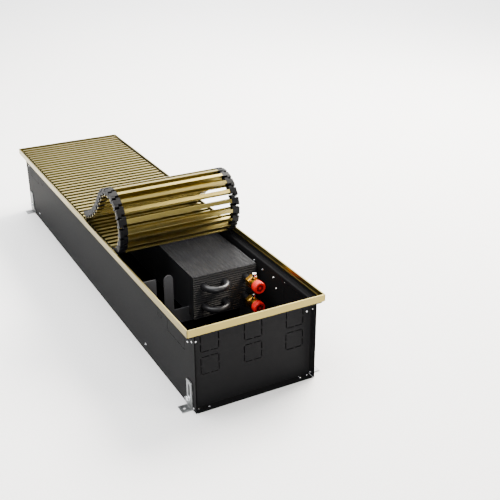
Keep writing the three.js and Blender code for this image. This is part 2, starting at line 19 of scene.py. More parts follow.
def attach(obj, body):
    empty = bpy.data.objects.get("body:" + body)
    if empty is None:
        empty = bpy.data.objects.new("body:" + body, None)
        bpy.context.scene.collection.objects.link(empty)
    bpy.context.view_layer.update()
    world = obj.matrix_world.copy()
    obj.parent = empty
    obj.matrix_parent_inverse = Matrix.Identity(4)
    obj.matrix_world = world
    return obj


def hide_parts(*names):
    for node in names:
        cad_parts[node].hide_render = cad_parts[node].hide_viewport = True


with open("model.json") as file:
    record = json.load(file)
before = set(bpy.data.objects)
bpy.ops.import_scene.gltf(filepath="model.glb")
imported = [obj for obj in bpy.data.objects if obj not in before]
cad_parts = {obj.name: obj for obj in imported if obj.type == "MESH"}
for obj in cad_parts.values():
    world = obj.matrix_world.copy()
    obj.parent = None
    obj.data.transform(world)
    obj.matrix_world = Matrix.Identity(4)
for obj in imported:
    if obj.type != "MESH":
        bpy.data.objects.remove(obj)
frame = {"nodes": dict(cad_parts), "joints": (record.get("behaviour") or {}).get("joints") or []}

log = logging.getLogger("heater")

MM = 0.001
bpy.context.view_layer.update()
Point = tuple[float, float]
Radius = float | Callable[[float], float]

LINE_STRETCH = 120  # length of a die line over its width
ROUGHNESS_SPREAD = 0.15  # share by which a pattern moves the roughness up and down
BUMP_STRENGTH = 0.6  # softens the relief of every pattern
PAINT_IOR = 1.5  # paints and plastics; a metal keeps the default
BEND_STEPS = 6  # faces across a folded sheet's bend


# ---- finishes -----------------------------------------------------------------------


class Texture(Enum):
    """How a surface was made, which sets the pattern of its shader."""

    DRAWN = "long die lines"
    POWDER = "fine orange peel"
    SPANGLE = "zinc crystals"
    TURNED = "tool marks"
    MOULDED = "even mould grain"


@dataclass(frozen=True)
class Finish:
    """One real material.

    Attributes:
        name: Common name of the material.
        slot: Material slot of the record; not used.
        colour: sRGB colour as a hex number.
        metallic: 1 for bare metal, 0 for paint and plastic.
        roughness: Middle roughness.
        texture: Kind of pattern.
        grain_mm: Size of the pattern across its lines or grains.
        relief_mm: Depth of the pattern.
        along: Axis that the lines run along.
        shade: How much darker the pattern's dark parts are.
        sheen: Strength of the clear reflection, 0.5 for a closed glossy skin.
    """

    name: str
    slot: str
    colour: int
    metallic: float
    roughness: float
    texture: Texture
    grain_mm: float
    relief_mm: float
    along: int = 0
    shade: float = 0.1
    sheen: float = 0.5


# Die lines, tool marks and mould grain are finer on the real heater. Here they are as coarse as
# they need to be to show. The orange peel and the zinc crystals have their real size.

# soft satin gold with faint lines, the warm note of the heater
CHAMPAGNE_LONG = Finish(
    "anodised aluminium, lengthwise", "champagne", 0x8A7C45, 1.0, 0.3, Texture.DRAWN, 0.5, 0.004, along=0
)
# the same gold, with its lines along the slats and the two short rails
CHAMPAGNE_CROSS = replace(CHAMPAGNE_LONG, name="anodised aluminium, crosswise", along=1)
# near-black with a dull sheen that shows the bends
POWDER_BLACK = Finish(
    "powder-coated steel", "black_sheet", 0x141415, 0.0, 0.62, Texture.POWDER, 0.9, 0.01, sheen=0.05
)
# painted shade: the same coat at the cut edges, painted near black where no light falls; it draws the
# knock-outs as dark dashes
CUT_EDGE_SHADE = replace(POWDER_BLACK, name="powder-coated edge", colour=0x050505, roughness=0.8, sheen=0.02)
# the same coat on the bottom, painted darker as shade in the depth of the trough, so the valves and brackets
# stand out from it
BOTTOM_SHADE_BLACK = replace(POWDER_BLACK, name="powder-coated bottom", colour=0x0A0A0B, roughness=0.7, sheen=0.03)
# painted light: the two brackets inside have the same black coat, painted a lighter, grainy grey for the
# light falling on their faces
BRACKET_LIT_GREY = Finish(
    "textured powder coat", "black_sheet", 0x464648, 0.0, 0.6, Texture.POWDER, 1.2, 0.012, sheen=0.15
)
# deep black that gleams on the round bends and draws the ridges
TUBE_BLACK = Finish(
    "stoved black paint", "black_fins", 0x1C1C1E, 0.0, 0.36, Texture.POWDER, 0.8, 0.002, shade=0.04,
    sheen=0.35,
)
# thin black paint on the fins, painted a lighter grey than the tube as a painted highlight: the grey haze of
# light that their many edges catch
FIN_LIT_BLACK = Finish(
    "dipped black paint", "black_fins", 0x3C3C3E, 0.0, 0.4, Texture.POWDER, 0.8, 0.002, shade=0.04
)
# flat black plastic, duller than the coat beside it
NYLON = Finish(
    "glass-filled nylon", "black_plastic", 0x08080A, 0.0, 0.5, Texture.MOULDED, 0.35, 0.01, sheen=0.12
)
# cold light grey with crystals
GALVANISED = Finish("galvanised steel", "zinc", 0x8C8E8E, 1.0, 0.42, Texture.SPANGLE, 5.0, 0.004, shade=0.22)
# small bright points against the black sheet
BRIGHT_ZINC = Finish("bright zinc plate", "zinc", 0xE2E4E6, 1.0, 0.22, Texture.TURNED, 0.6, 0.003)
# dark steel that only glints along its length
BURNISHED = Finish("burnished steel", "zinc", 0x4E5054, 1.0, 0.34, Texture.TURNED, 0.6, 0.003)
# warm yellow with hard highlights on the flats
BRASS = Finish("machined brass", "brass", 0xC9983F, 1.0, 0.26, Texture.TURNED, 0.5, 0.004)
# pale mirror with a faint warm tone
NICKEL = Finish("nickel plate", "nickel", 0xC4C1B8, 1.0, 0.16, Texture.TURNED, 0.7, 0.002)
# bright signal red, slightly shiny
RED_CAP = Finish(
    "red polyethylene", "red_plastic", 0xD4100C, 0.0, 0.34, Texture.MOULDED, 0.5, 0.006, sheen=0.3
)
# darker red painted as shade in the hexagon recess, on the thin web over the open port
RED_RECESS_SHADE = Finish("thin red polyethylene", "red_plastic", 0x6E0604, 0.0, 0.4, Texture.MOULDED, 0.5, 0.006)
# white without a highlight, which takes soft shadows
STUDIO_FLOOR = Finish("matt white floor", "", 0xFEFEFE, 0.0, 0.9, Texture.MOULDED, 4.0, 0.002)

MATERIALS: dict[str, bpy.types.Material] = {}


def linear(colour: int, factor: float = 1.0) -> tuple[float, float, float, float]:
    """Turns an sRGB hex colour into linear light.

    Args:
        colour: The colour, such as 0xC9B582.
        factor: Multiplies the linear value.

    Returns:
        Linear red, green, blue and an alpha of one.
    """
    channels = [((colour >> shift) & 255) / 255 for shift in (16, 8, 0)]
    light = [c / 12.92 if c <= 0.04045 else ((c + 0.055) / 1.055) ** 2.4 for c in channels]
    return (*[value * factor for value in light], 1.0)


def add_node(tree: bpy.types.NodeTree, kind: str, inputs: dict | None = None, **settings) -> bpy.types.Node:
    """Adds a node with its settings, constants and links.

    Args:
        tree: Tree that gets the node.
        kind: Blender's name of the node type.
        inputs: Socket name or number to a constant or to an output socket.
        **settings: Properties of the node.

    Returns:
        The new node.
    """
    node = tree.nodes.new(kind)
    for name, value in settings.items():
        setattr(node, name, value)
    for name, value in (inputs or {}).items():
        if isinstance(value, bpy.types.NodeSocket):
            tree.links.new(value, node.inputs[name])
        else:
            node.inputs[name].default_value = value
    return node


def pattern(tree: bpy.types.NodeTree, finish: Finish) -> bpy.types.NodeSocket:
    """Builds the height pattern of a finish in real millimetres.

    Args:
        tree: Shader tree.
        finish: The finish.

    Returns:
        A value from 0 to 1.
    """
    place = add_node(tree, "ShaderNodeTexCoord").outputs["Object"]
    per_metre = 1 / (finish.grain_mm * MM)
    scale = [per_metre] * 3
    if finish.texture is Texture.DRAWN:
        scale[finish.along] = per_metre / LINE_STRETCH
    mapping = add_node(tree, "ShaderNodeMapping", {"Vector": place, "Scale": scale})
    if finish.texture is Texture.SPANGLE:
        cells = add_node(tree, "ShaderNodeTexVoronoi", {"Vector": mapping.outputs[0], "Scale": 1.0})
        return add_node(tree, "ShaderNodeSeparateColor", {0: cells.outputs["Color"]}).outputs[0]
    detail = {Texture.POWDER: 1.0, Texture.DRAWN: 3.0}.get(finish.texture, 2.0)
    noise = {"Vector": mapping.outputs[0], "Scale": 1.0, "Detail": detail}
    return add_node(tree, "ShaderNodeTexNoise", noise).outputs[0]


def material(finish: Finish) -> bpy.types.Material:
    """Gives the shader of a finish, made once.

    Args:
        finish: The finish.

    Returns:
        Its Blender material.
    """
    if finish.name in MATERIALS:
        return MATERIALS[finish.name]
    made = bpy.data.materials.new(finish.name)
    made.use_nodes = True
    tree = made.node_tree
    tree.nodes.clear()
    height = pattern(tree, finish)
    dark, light = linear(finish.colour, 1 - finish.shade), linear(finish.colour, 1 + finish.shade / 2)
    colours = add_node(tree, "ShaderNodeMix", {0: height, 6: dark, 7: light}, data_type="RGBA")
    smooth = finish.roughness * (1 - ROUGHNESS_SPREAD)
    rough = min(1.0, finish.roughness * (1 + ROUGHNESS_SPREAD))
    gloss = add_node(tree, "ShaderNodeMapRange", {0: height, "To Min": smooth, "To Max": rough})
    relief = {"Height": height, "Distance": finish.relief_mm * MM, "Strength": BUMP_STRENGTH}
    bump = add_node(tree, "ShaderNodeBump", relief)
    surface = add_node(
        tree,
        "ShaderNodeBsdfPrincipled",
        {
            "Base Color": colours.outputs[2],
            "Metallic": finish.metallic,
            "Roughness": gloss.outputs[0],
            "Normal": bump.outputs[0],
            "Specular IOR Level": finish.sheen,
        },
    )
    if not finish.metallic:
        surface.inputs["IOR"].default_value = PAINT_IOR
    add_node(tree, "ShaderNodeOutputMaterial", {"Surface": surface.outputs[0]})
    MATERIALS[finish.name] = made
    return made


# ---- solids and sheets --------------------------------------------------------------


@dataclass(frozen=True)
class Plane:
    """A drawing plane: a point and two unit directions."""

    origin: Vector
    u: Vector
    v: Vector

    def at(self, u: float, v: float, w: float = 0.0) -> Vector:
        """Gives the point at (u, v), w above the plane."""
        return self.origin + self.u * u + self.v * v + self.u.cross(self.v) * w


X, Y, Z = Vector((1, 0, 0)), Vector((0, 1, 0)), Vector((0, 0, 1))


def new_object(
    name: str, bm: bmesh.types.BMesh, finish: Finish | None, smooth: float = 32
) -> bpy.types.Object:
    """Turns a mesh in millimetres into an object at the origin.

    Args:
        name: Name of the piece.
        bm: The mesh, which is freed.
        finish: Its finish, or None for a blank that gets one later.
        smooth: Edges flatter than this angle in degrees are shaded smooth.

    Returns:
        The new object.
    """
    bmesh.ops.remove_doubles(bm, verts=bm.verts, dist=1e-4)
    bmesh.ops.recalc_face_normals(bm, faces=bm.faces)
    bmesh.ops.scale(bm, vec=(MM, MM, MM), verts=bm.verts)
    mesh = bpy.data.meshes.new(name)
    bm.to_mesh(mesh)
    bm.free()
    made = bpy.data.objects.new(name, mesh)
    bpy.context.scene.collection.objects.link(made)
    if finish:
        mesh.materials.append(material(finish))
    soften(made, smooth)
    return made


def soften(piece: bpy.types.Object, angle: float) -> None:
    """Shades a piece smooth, with its steeper edges sharp."""
    piece.data.shade_smooth()
    piece.data.set_sharp_from_angle(angle=math.radians(angle))


def apply_modifiers(piece: bpy.types.Object) -> None:
    """Swaps a piece's mesh for the one its modifiers give.

    Args:
        piece: The piece, which loses its modifiers.
    """
    evaluated = piece.evaluated_get(bpy.context.evaluated_depsgraph_get())
    mesh = bpy.data.meshes.new_from_object(evaluated)
    piece.modifiers.clear()
    piece.data = mesh
    mesh.name = piece.name


def bake(piece: bpy.types.Object, angle: float = 32) -> bpy.types.Object:
    """Turns a piece with modifiers into a plain mesh.

    Args:
        piece: The piece.
        angle: Smooth angle in degrees.

    Returns:
        The same piece, without modifiers.
    """
    apply_modifiers(piece)
    soften(piece, angle)
    return piece


def place_on(piece: bpy.types.Object, body: str, finish: Finish, *nodes: str) -> None:
    """Lets a finished piece ride a body and stand for its CAD nodes.

    Args:
        piece: The piece, at the origin.
        body: CAD body that carries it.
        finish: Its main finish; not used.
        *nodes: CAD nodes that it stands for.
    """
    flat = piece.modifiers.new("Flat faces", "WEIGHTED_NORMAL")
    flat.keep_sharp = True
    apply_modifiers(piece)
    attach(piece, body)
    if nodes:
        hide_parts(*nodes)
    log.info("%s: %d faces on %s", piece.name, len(piece.data.polygons), body)


def arc(centre: Point, radius: float, start: float, end: float, steps: int) -> list[Point]:
    """Gives the points of an arc, with angles in degrees."""
    angles = [math.radians(start + (end - start) * i / steps) for i in range(steps + 1)]
    return [(centre[0] + radius * math.cos(a), centre[1] + radius * math.sin(a)) for a in angles]


def circle(centre: Point, radius: float, steps: int = 24) -> list[Point]:
    """Gives a closed circle as an outline."""
    return arc(centre, radius, 0, 360 - 360 / steps, steps - 1)


def rounded(points: Sequence[Point], radius: float, steps: int = 4) -> list[Point]:
    """Rounds each corner of a closed outline.

    Args:
        points: The outline.
        radius: Wanted radius, less where an edge is short.
        steps: Points for each corner, less one.

    Returns:
        The rounded outline.
    """
    out: list[Point] = []
    for i, (x, y) in enumerate(points):
        corner = Vector((x, y))
        back = Vector(points[i - 1]) - corner
        ahead = Vector(points[(i + 1) % len(points)]) - corner
        cut = min(radius, back.length * 0.45, ahead.length * 0.45)
        first, last = corner + back.normalized() * cut, corner + ahead.normalized() * cut
        for k in range(steps + 1):
            t = k / steps
            spot = first * (1 - t) ** 2 + corner * (2 * t * (1 - t)) + last * t * t
            out.append((spot.x, spot.y))
    return out


def box_outline(u0: float, u1: float, v0: float, v1: float) -> list[Point]:
    """Gives a rectangle as an outline."""
    return [(u0, v0), (u1, v0), (u1, v1), (u0, v1)]


def add_prism(
    bm: bmesh.types.BMesh,
    near: Sequence[Vector],
    far: Sequence[Vector],
    outline: Sequence[Point],
) -> None:
    """Adds a closed prism between two matching rings.

    Args:
        bm: Mesh that gets it.
        near: Points of the first ring.
        far: Points of the second ring.
        outline: The same ring laid flat, for its end faces.
    """
    triangles = tessellate_polygon([[Vector((u, v, 0)) for u, v in outline]])
    for ring in (near, far):
        verts = [bm.verts.new(p) for p in ring]
        for triangle in triangles:
            bm.faces.new([verts[i] for i in triangle])
    first, second = [bm.verts.new(p) for p in near], [bm.verts.new(p) for p in far]
    for i in range(len(near)):
        k = (i + 1) % len(near)
        bm.faces.new([first[i], first[k], second[k], second[i]])


def add_plate(
    bm: bmesh.types.BMesh,
    plane: Plane,
    outline: Sequence[Point],
    thickness: float,
    holes: Sequence[Sequence[Point]] = (),
) -> None:
    """Adds a flat plate with holes.

    Args:
        bm: Mesh that gets it.
        plane: Plane of its lower face.
        outline: Its edge.
        thickness: Its thickness.
        holes: Edges of its holes.
    """
    loops = [outline, *holes]
    triangles = tessellate_polygon([[Vector((u, v, 0)) for u, v in loop] for loop in loops])
    flat = [point for loop in loops for point in loop]
    for w in (0.0, thickness):
        verts = [bm.verts.new(plane.at(u, v, w)) for u, v in flat]
        for triangle in triangles:
            bm.faces.new([verts[i] for i in triangle])
    for loop in loops:
        low = [bm.verts.new(plane.at(u, v)) for u, v in loop]
        high = [bm.verts.new(plane.at(u, v, thickness)) for u, v in loop]
        for i in range(len(loop)):
            k = (i + 1) % len(loop)
            bm.faces.new([low[i], low[k], high[k], high[i]])


def add_lathe(
    bm: bmesh.types.BMesh, plane: Plane, rings: Sequence[tuple[float, Radius]], segments: int = 40
) -> None:
    """Adds a turned solid round the plane's normal.

    Args:
        bm: Mesh that gets it.
        plane: Its normal is the axis.
        rings: Height and radius of each ring; a radius may depend on the angle.
        segments: Steps round the axis.
    """
    previous: list[bmesh.types.BMVert] = []
    for height, radius in rings:
        if radius == 0:
            ring = [bm.verts.new(plane.at(0, 0, height))]
        else:
            ring = []
            for i in range(segments):
                angle = 2 * math.pi * i / segments
                reach = radius(angle) if callable(radius) else radius
                ring.append(bm.verts.new(plane.at(reach * math.cos(angle), reach * math.sin(angle), height)))
        for i in range(segments if previous else 0):
            k = (i + 1) % segments
            around = ((previous, i), (previous, k), (ring, k), (ring, i))
            unique = list(dict.fromkeys(loop[m % len(loop)] for loop, m in around))
            if len(unique) > 2:
                bm.faces.new(unique)
        previous = ring


def bevel_edges(bm: bmesh.types.BMesh, width: float) -> None:
    """Breaks the sharp edges of a solid.

    Args:
        bm: The solid.
        width: Width of the bevel.
    """
    bmesh.ops.remove_doubles(bm, verts=bm.verts, dist=1e-4)
    bmesh.ops.recalc_face_normals(bm, faces=bm.faces)
    steep = math.radians(50)
    sharp = [e for e in bm.edges if len(e.link_faces) == 2 and e.calc_face_angle(0) > steep]
    bmesh.ops.bevel(bm, geom=sharp, offset=width, segments=2, profile=0.6, affect="EDGES", clamp_overlap=True)


def hexagon(flats: float, limit: float = math.inf) -> Callable[[float], float]:
    """Gives the radius of a hexagon at each angle, held within a circle.

    Args:
        flats: Width across the flats.
        limit: Radius of the circle.

    Returns:
        A function from the angle to the radius.
    """

    def radius(angle: float) -> float:
        """Gives the radius at one angle."""
        turn = (angle + math.pi / 6) % (math.pi / 3) - math.pi / 6
        return min(limit, flats / 2 / math.cos(turn))

    return radius


def bar(length: float, width: float) -> Callable[[float], float]:
    """Gives the radius of a straight slot at each angle.

    Args:
        length: Length of the slot.
        width: Its width.

    Returns:
        A function from the angle to the radius.
    """

    def radius(angle: float) -> float:
        """Gives the radius at one angle."""
        c, s = abs(math.cos(angle)) + 1e-9, abs(math.sin(angle)) + 1e-9
        return min(length / 2 / c, width / 2 / s)

    return radius


def cross(length: float, width: float) -> Callable[[float], float]:
    """Gives the radius of a cross recess at each angle."""
    one = bar(length, width)
    return lambda angle: max(one(angle), one(angle + math.pi / 2))


@dataclass(frozen=True)
class Bend:
    """A bend of a sheet: its middle radius and its angle, negative to turn the other way."""

    radius: float
    degrees: float = 90.0


@dataclass(frozen=True)
class Flat:
    """A flat run of a sheet after a bend.

    Attributes:
        length: How far it runs from the bend.
        holes: Outlines in (along the bend, away from it).
        taper: How much its sides draw in at the far edge.
    """

    length: float
    holes: tuple = ()
    taper: float = 0.0


class Sheet:
    """A folded sheet, drawn as its middle surface and then thickened."""

    def __init__(self, thickness: float) -> None:
        """Starts an empty sheet.

        Args:
            thickness: Sheet thickness in millimetres.
        """
        self.thickness = thickness
        self.bm = bmesh.new()

    def face(self, plane: Plane, outline: Sequence[Point], holes: Sequence[Sequence[Point]] = ()) -> None:
        """Adds a flat face.

        Args:
            plane: Plane of the face.
            outline: Its edge.
            holes: Edges of its holes.
        """
        loops = [outline, *holes]
        verts = [self.bm.verts.new(plane.at(u, v)) for loop in loops for u, v in loop]
        for triangle in tessellate_polygon([[Vector((u, v, 0)) for u, v in loop] for loop in loops]):
            self.bm.faces.new([verts[i] for i in triangle])

    def fold(
        self, start: Vector, end: Vector, away: Vector, normal: Vector, steps: Sequence[Bend | Flat]
    ) -> None:
        """Adds bends and flats after one another from an edge.

        Args:
            start: One end of the edge.
            end: Its other end.
            away: Direction that leaves the sheet there.
            normal: Side that a positive bend turns to.
            steps: The bends and flats.
        """
        along = (end - start).normalized()
        span = (end - start).length
        for step in steps:
            if isinstance(step, Bend):
                side = normal if step.degrees > 0 else -normal
                total = math.radians(abs(step.degrees))
                rows = []
                for i in range(BEND_STEPS + 1):
                    a = total * i / BEND_STEPS
                    move = away * (step.radius * math.sin(a)) + side * (step.radius * (1 - math.cos(a)))
                    rows.append([self.bm.verts.new(start + move), self.bm.verts.new(end + move)])
                for one, two in zip(rows, rows[1:]):
                    self.bm.faces.new([one[0], one[1], two[1], two[0]])
                start, end = rows[-1][0].co.copy(), rows[-1][1].co.copy()
                turned = away * math.cos(total) + side * math.sin(total)
                side = side * math.cos(total) - away * math.sin(total)
                away, normal = turned, side if step.degrees > 0 else -side
            else:
                outline = [(0, 0), (span, 0), (span - step.taper, step.length), (step.taper, step.length)]
                self.face(Plane(start, along, away), outline, step.holes)
                start, end = start + away * step.length, end + away * step.length

    def build(
        self, name: str, finish: Finish, smooth: float = 32, edge: Finish | None = None
    ) -> bpy.types.Object:
        """Thickens the sheet into a piece.

        Args:
            name: Name of the piece.
            finish: Its finish.
            smooth: Smooth angle in degrees.
            edge: Finish of its cut edges, if they differ, such as a near-black coat painted on as shade.

        Returns:
            The piece.
        """
        piece = new_object(name, self.bm, finish)
        thick = piece.modifiers.new("Sheet", "SOLIDIFY")
        thick.thickness = self.thickness * MM
        thick.offset = 0
        # the rim faces, the cut edges, can take a darker finish painted on as shade
        if edge:
            piece.data.materials.append(material(edge))
            thick.material_offset_rim = 1
        return bake(piece, smooth)


@dataclass(frozen=True)
class Perforation:
    """How a knock-out is cut: slots with small bridges of metal between them."""

    dash: float
    bridge: float
    width: float


def perforated(outline: Sequence[Point], cut: Perforation) -> list[list[Point]]:
    """Cuts a closed outline into slots.

    Args:
        outline: Outline of the knock-out.
        cut: Its wanted slots and bridges.

    Returns:
        One outline for each slot.
    """
    corners = [Vector(p) for p in outline]
    lengths = [(corners[(i + 1) % len(corners)] - corners[i]).length for i in range(len(corners))]
    total = sum(lengths)
    count = max(4, round(total / (cut.dash + cut.bridge)))
    period = total / count
    marks = corner_marks(lengths, total)
    step = 1e-6  # looks just before and just after a corner

    def spot(distance: float) -> tuple[Vector, Vector]:
        """Finds a place along the outline.

        Args:
            distance: How far along it.

        Returns:
            The point and the sideways direction there.
        """
        distance %= total
        for i, length in enumerate(lengths):
            if distance <= length:
                run = (corners[(i + 1) % len(corners)] - corners[i]).normalized()
                return corners[i] + run * distance, Vector((-run.y, run.x))
            distance -= length
        return corners[0], Vector((0, 1))

    slots = []
    for k in range(count):
        first, last = k * period + cut.bridge / 2, (k + 1) * period - cut.bridge / 2
        inner, outer = [], []
        for mark in sorted({first, last, *[m for m in marks if first < m < last]}):
            if mark in (first, last):
                at, side = spot(mark + (step if mark == first else -step))
            else:
                at, one = spot(mark - step)
                both = one + spot(mark + step)[1]
                side = both / max(0.5, both.length_squared / 2)
            inner.append((at - side * cut.width / 2).to_tuple())
            outer.append((at + side * cut.width / 2).to_tuple())
        slots.append(inner + outer[::-1])
    return slots


def corner_marks(lengths: Sequence[float], total: float) -> list[float]:
    """Gives the distances of the corners along an outline, one turn before and after as well.

    Args:
        lengths: Length of each edge.
        total: Their sum.

    Returns:
        The distances.
    """
    marks, run = [], 0.0
    for length in lengths:
        marks.append(run)
        run += length
    return [m + turn * total for turn in (-1, 0, 1) for m in marks]


# ---- geometry node recipes ----------------------------------------------------------


class Recipe:
    """A geometry node tree with named inputs, run on a blank piece."""

    def __init__(self, name: str, sockets: dict[str, str]) -> None:
        """Starts a tree.

        Args:
            name: Name of the tree.
            sockets: Input name to socket type, without the NodeSocket prefix.
        """
        self.tree = bpy.data.node_groups.new(name, "GeometryNodeTree")
        face = self.tree.interface
        face.new_socket("Blank", in_out="INPUT", socket_type="NodeSocketGeometry")
        for label, kind in {**sockets, "Finish": "Material"}.items():
            face.new_socket(label, in_out="INPUT", socket_type=f"NodeSocket{kind}")
        face.new_socket("Piece", in_out="OUTPUT", socket_type="NodeSocketGeometry")
        self.input = self.tree.nodes.new("NodeGroupInput").outputs

    def node(self, kind: str, inputs: dict | None = None, **settings) -> bpy.types.Node:
        """Adds a node to the tree."""
        return add_node(self.tree, kind, inputs, **settings)

    def end(self, geometry: bpy.types.NodeSocket) -> "Recipe":
        """Closes the tree with real geometry in its finish.

        Args:
            geometry: Output that holds the built shape.

        Returns:
            The recipe.
        """
        real = self.node("GeometryNodeRealizeInstances", {0: geometry}).outputs[0]
        painted = self.node("GeometryNodeSetMaterial", {"Geometry": real, "Material": self.input["Finish"]})
        self.node("NodeGroupOutput", {0: painted.outputs[0]})
        return self

    def end_in_row(self, part: bpy.types.NodeSocket) -> "Recipe":
        """Closes the tree with copies of a part in a straight row.

        Args:
            part: Output that holds the part.

        Returns:
            The recipe, which needs the inputs Count, Start and Step.
        """
        count, start, step = (self.input[label] for label in ("Count", "Start", "Step"))
        line = self.node("GeometryNodeMeshLine", {"Count": count, "Start Location": start, "Offset": step})
        copies = self.node("GeometryNodeInstanceOnPoints", {"Points": line.outputs[0], "Instance": part})
        return self.end(copies.outputs[0])

    def run(
        self, name: str, finish: Finish, blank: bmesh.types.BMesh | None = None, **values
    ) -> bpy.types.Object:
        """Builds one plain piece from the tree.

        Args:
            name: Name of the piece.
            finish: Its finish.
            blank: Mesh that the tree starts from, if it needs one.
            **values: Values of the named inputs, with _ for a space.

        Returns:
            The piece.
        """
        piece = new_object(name, blank or bmesh.new(), None)
        modifier = piece.modifiers.new("Recipe", "NODES")
        modifier.node_group = self.tree
        names = {s.name: s.identifier for s in self.tree.interface.items_tree if s.in_out == "INPUT"}
        for label, value in {**values, "Finish": material(finish)}.items():
            modifier[names[label.replace("_", " ")]] = value
        return bake(piece)


def row_recipe() -> Recipe:
    """Builds the tree that copies one part in a straight row.

    Returns:
        The recipe.
    """
    recipe = Recipe("Row", {"Part": "Object", "Count": "Int", "Start": "Vector", "Step": "Vector"})
    part = recipe.node("GeometryNodeObjectInfo", {"Object": recipe.input["Part"]})
    return recipe.end_in_row(part.outputs["Geometry"])


def turn_recipe() -> Recipe:
    """Builds the tree that carries one part to its hinge and turns it there.

    Returns:
        The recipe.
    """
    recipe = Recipe("Turn", {"Part": "Object", "Hinge": "Vector", "Heading": "Float"})
    part = recipe.node("GeometryNodeObjectInfo", {"Object": recipe.input["Part"]})
    back = recipe.node("ShaderNodeMath", {0: recipe.input["Heading"], 1: -1.0}, operation="MULTIPLY")
    turn = recipe.node("ShaderNodeCombineXYZ", {"Y": back.outputs[0]}).outputs[0]
    place = {"Translation": recipe.input["Hinge"], "Rotation": turn}
    moved = recipe.node("GeometryNodeTransform", {"Geometry": part.outputs["Geometry"], **place})
    return recipe.end(moved.outputs[0])


def tube_recipe() -> Recipe:
    """Builds the tree that runs a round tube along the blank's edges.

    Returns:
        The recipe.
    """
    recipe = Recipe("Tube", {"Radius": "Float", "Sides": "Int"})
    path = recipe.node("GeometryNodeMeshToCurve", {0: recipe.input["Blank"]})
    section = {"Resolution": recipe.input["Sides"], "Radius": recipe.input["Radius"]}
    ring = recipe.node("GeometryNodeCurvePrimitiveCircle", section)
    swept = {"Curve": path.outputs[0], "Profile Curve": ring.outputs[0], "Fill Caps": True}
    tube = recipe.node("GeometryNodeCurveToMesh", swept)
    return recipe.end(tube.outputs[0])


def fin_recipe() -> Recipe:
    """Builds the tree that waves the blank along Y and copies it in a row.

    Returns:
        The recipe.
    """
    row = {"Count": "Int", "Start": "Vector", "Step": "Vector"}
    recipe = Recipe("Fins", {**row, "Wave length": "Float", "Wave height": "Float"})
    place = recipe.node("GeometryNodeInputPosition")
    y = recipe.node("ShaderNodeSeparateXYZ", {0: place.outputs[0]}).outputs["Y"]
    turns = recipe.node("ShaderNodeMath", {0: y, 1: recipe.input["Wave length"]}, operation="DIVIDE")
    angle = recipe.node("ShaderNodeMath", {0: turns.outputs[0], 1: 2 * math.pi}, operation="MULTIPLY")
    sine = recipe.node("ShaderNodeMath", {0: angle.outputs[0]}, operation="SINE")
    height = recipe.input["Wave height"]
    push = recipe.node("ShaderNodeMath", {0: sine.outputs[0], 1: height}, operation="MULTIPLY")
    offset = recipe.node("ShaderNodeCombineXYZ", {"X": push.outputs[0]}).outputs[0]
    fin = recipe.node("GeometryNodeSetPosition", {"Geometry": recipe.input["Blank"], "Offset": offset})
    return recipe.end_in_row(fin.outputs[0])


def scatter_recipe() -> Recipe:
    """Builds the tree that sets a fastener on each point of the blank, along its facing attribute.

    Returns:
        The recipe.
    """
    recipe = Recipe("Fasteners", {"Part": "Object"})
    part = recipe.node("GeometryNodeObjectInfo", {"Object": recipe.input["Part"]})
    facing = recipe.node("GeometryNodeInputNamedAttribute", {"Name": "facing"}, data_type="FLOAT_VECTOR")
    turn = recipe.node("FunctionNodeAlignRotationToVector", {"Vector": facing.outputs[0]}, axis="Z")
    place = {"Points": recipe.input["Blank"], "Rotation": turn.outputs[0]}
    copies = recipe.node("GeometryNodeInstanceOnPoints", {"Instance": part.outputs["Geometry"], **place})
    return recipe.end(copies.outputs[0])


def discard(*parts: bpy.types.Object) -> None:
    """Removes patterns that the recipes have copied."""
    for part in parts:
        bpy.data.objects.remove(part)


# ---- casing -------------------------------------------------------------------------


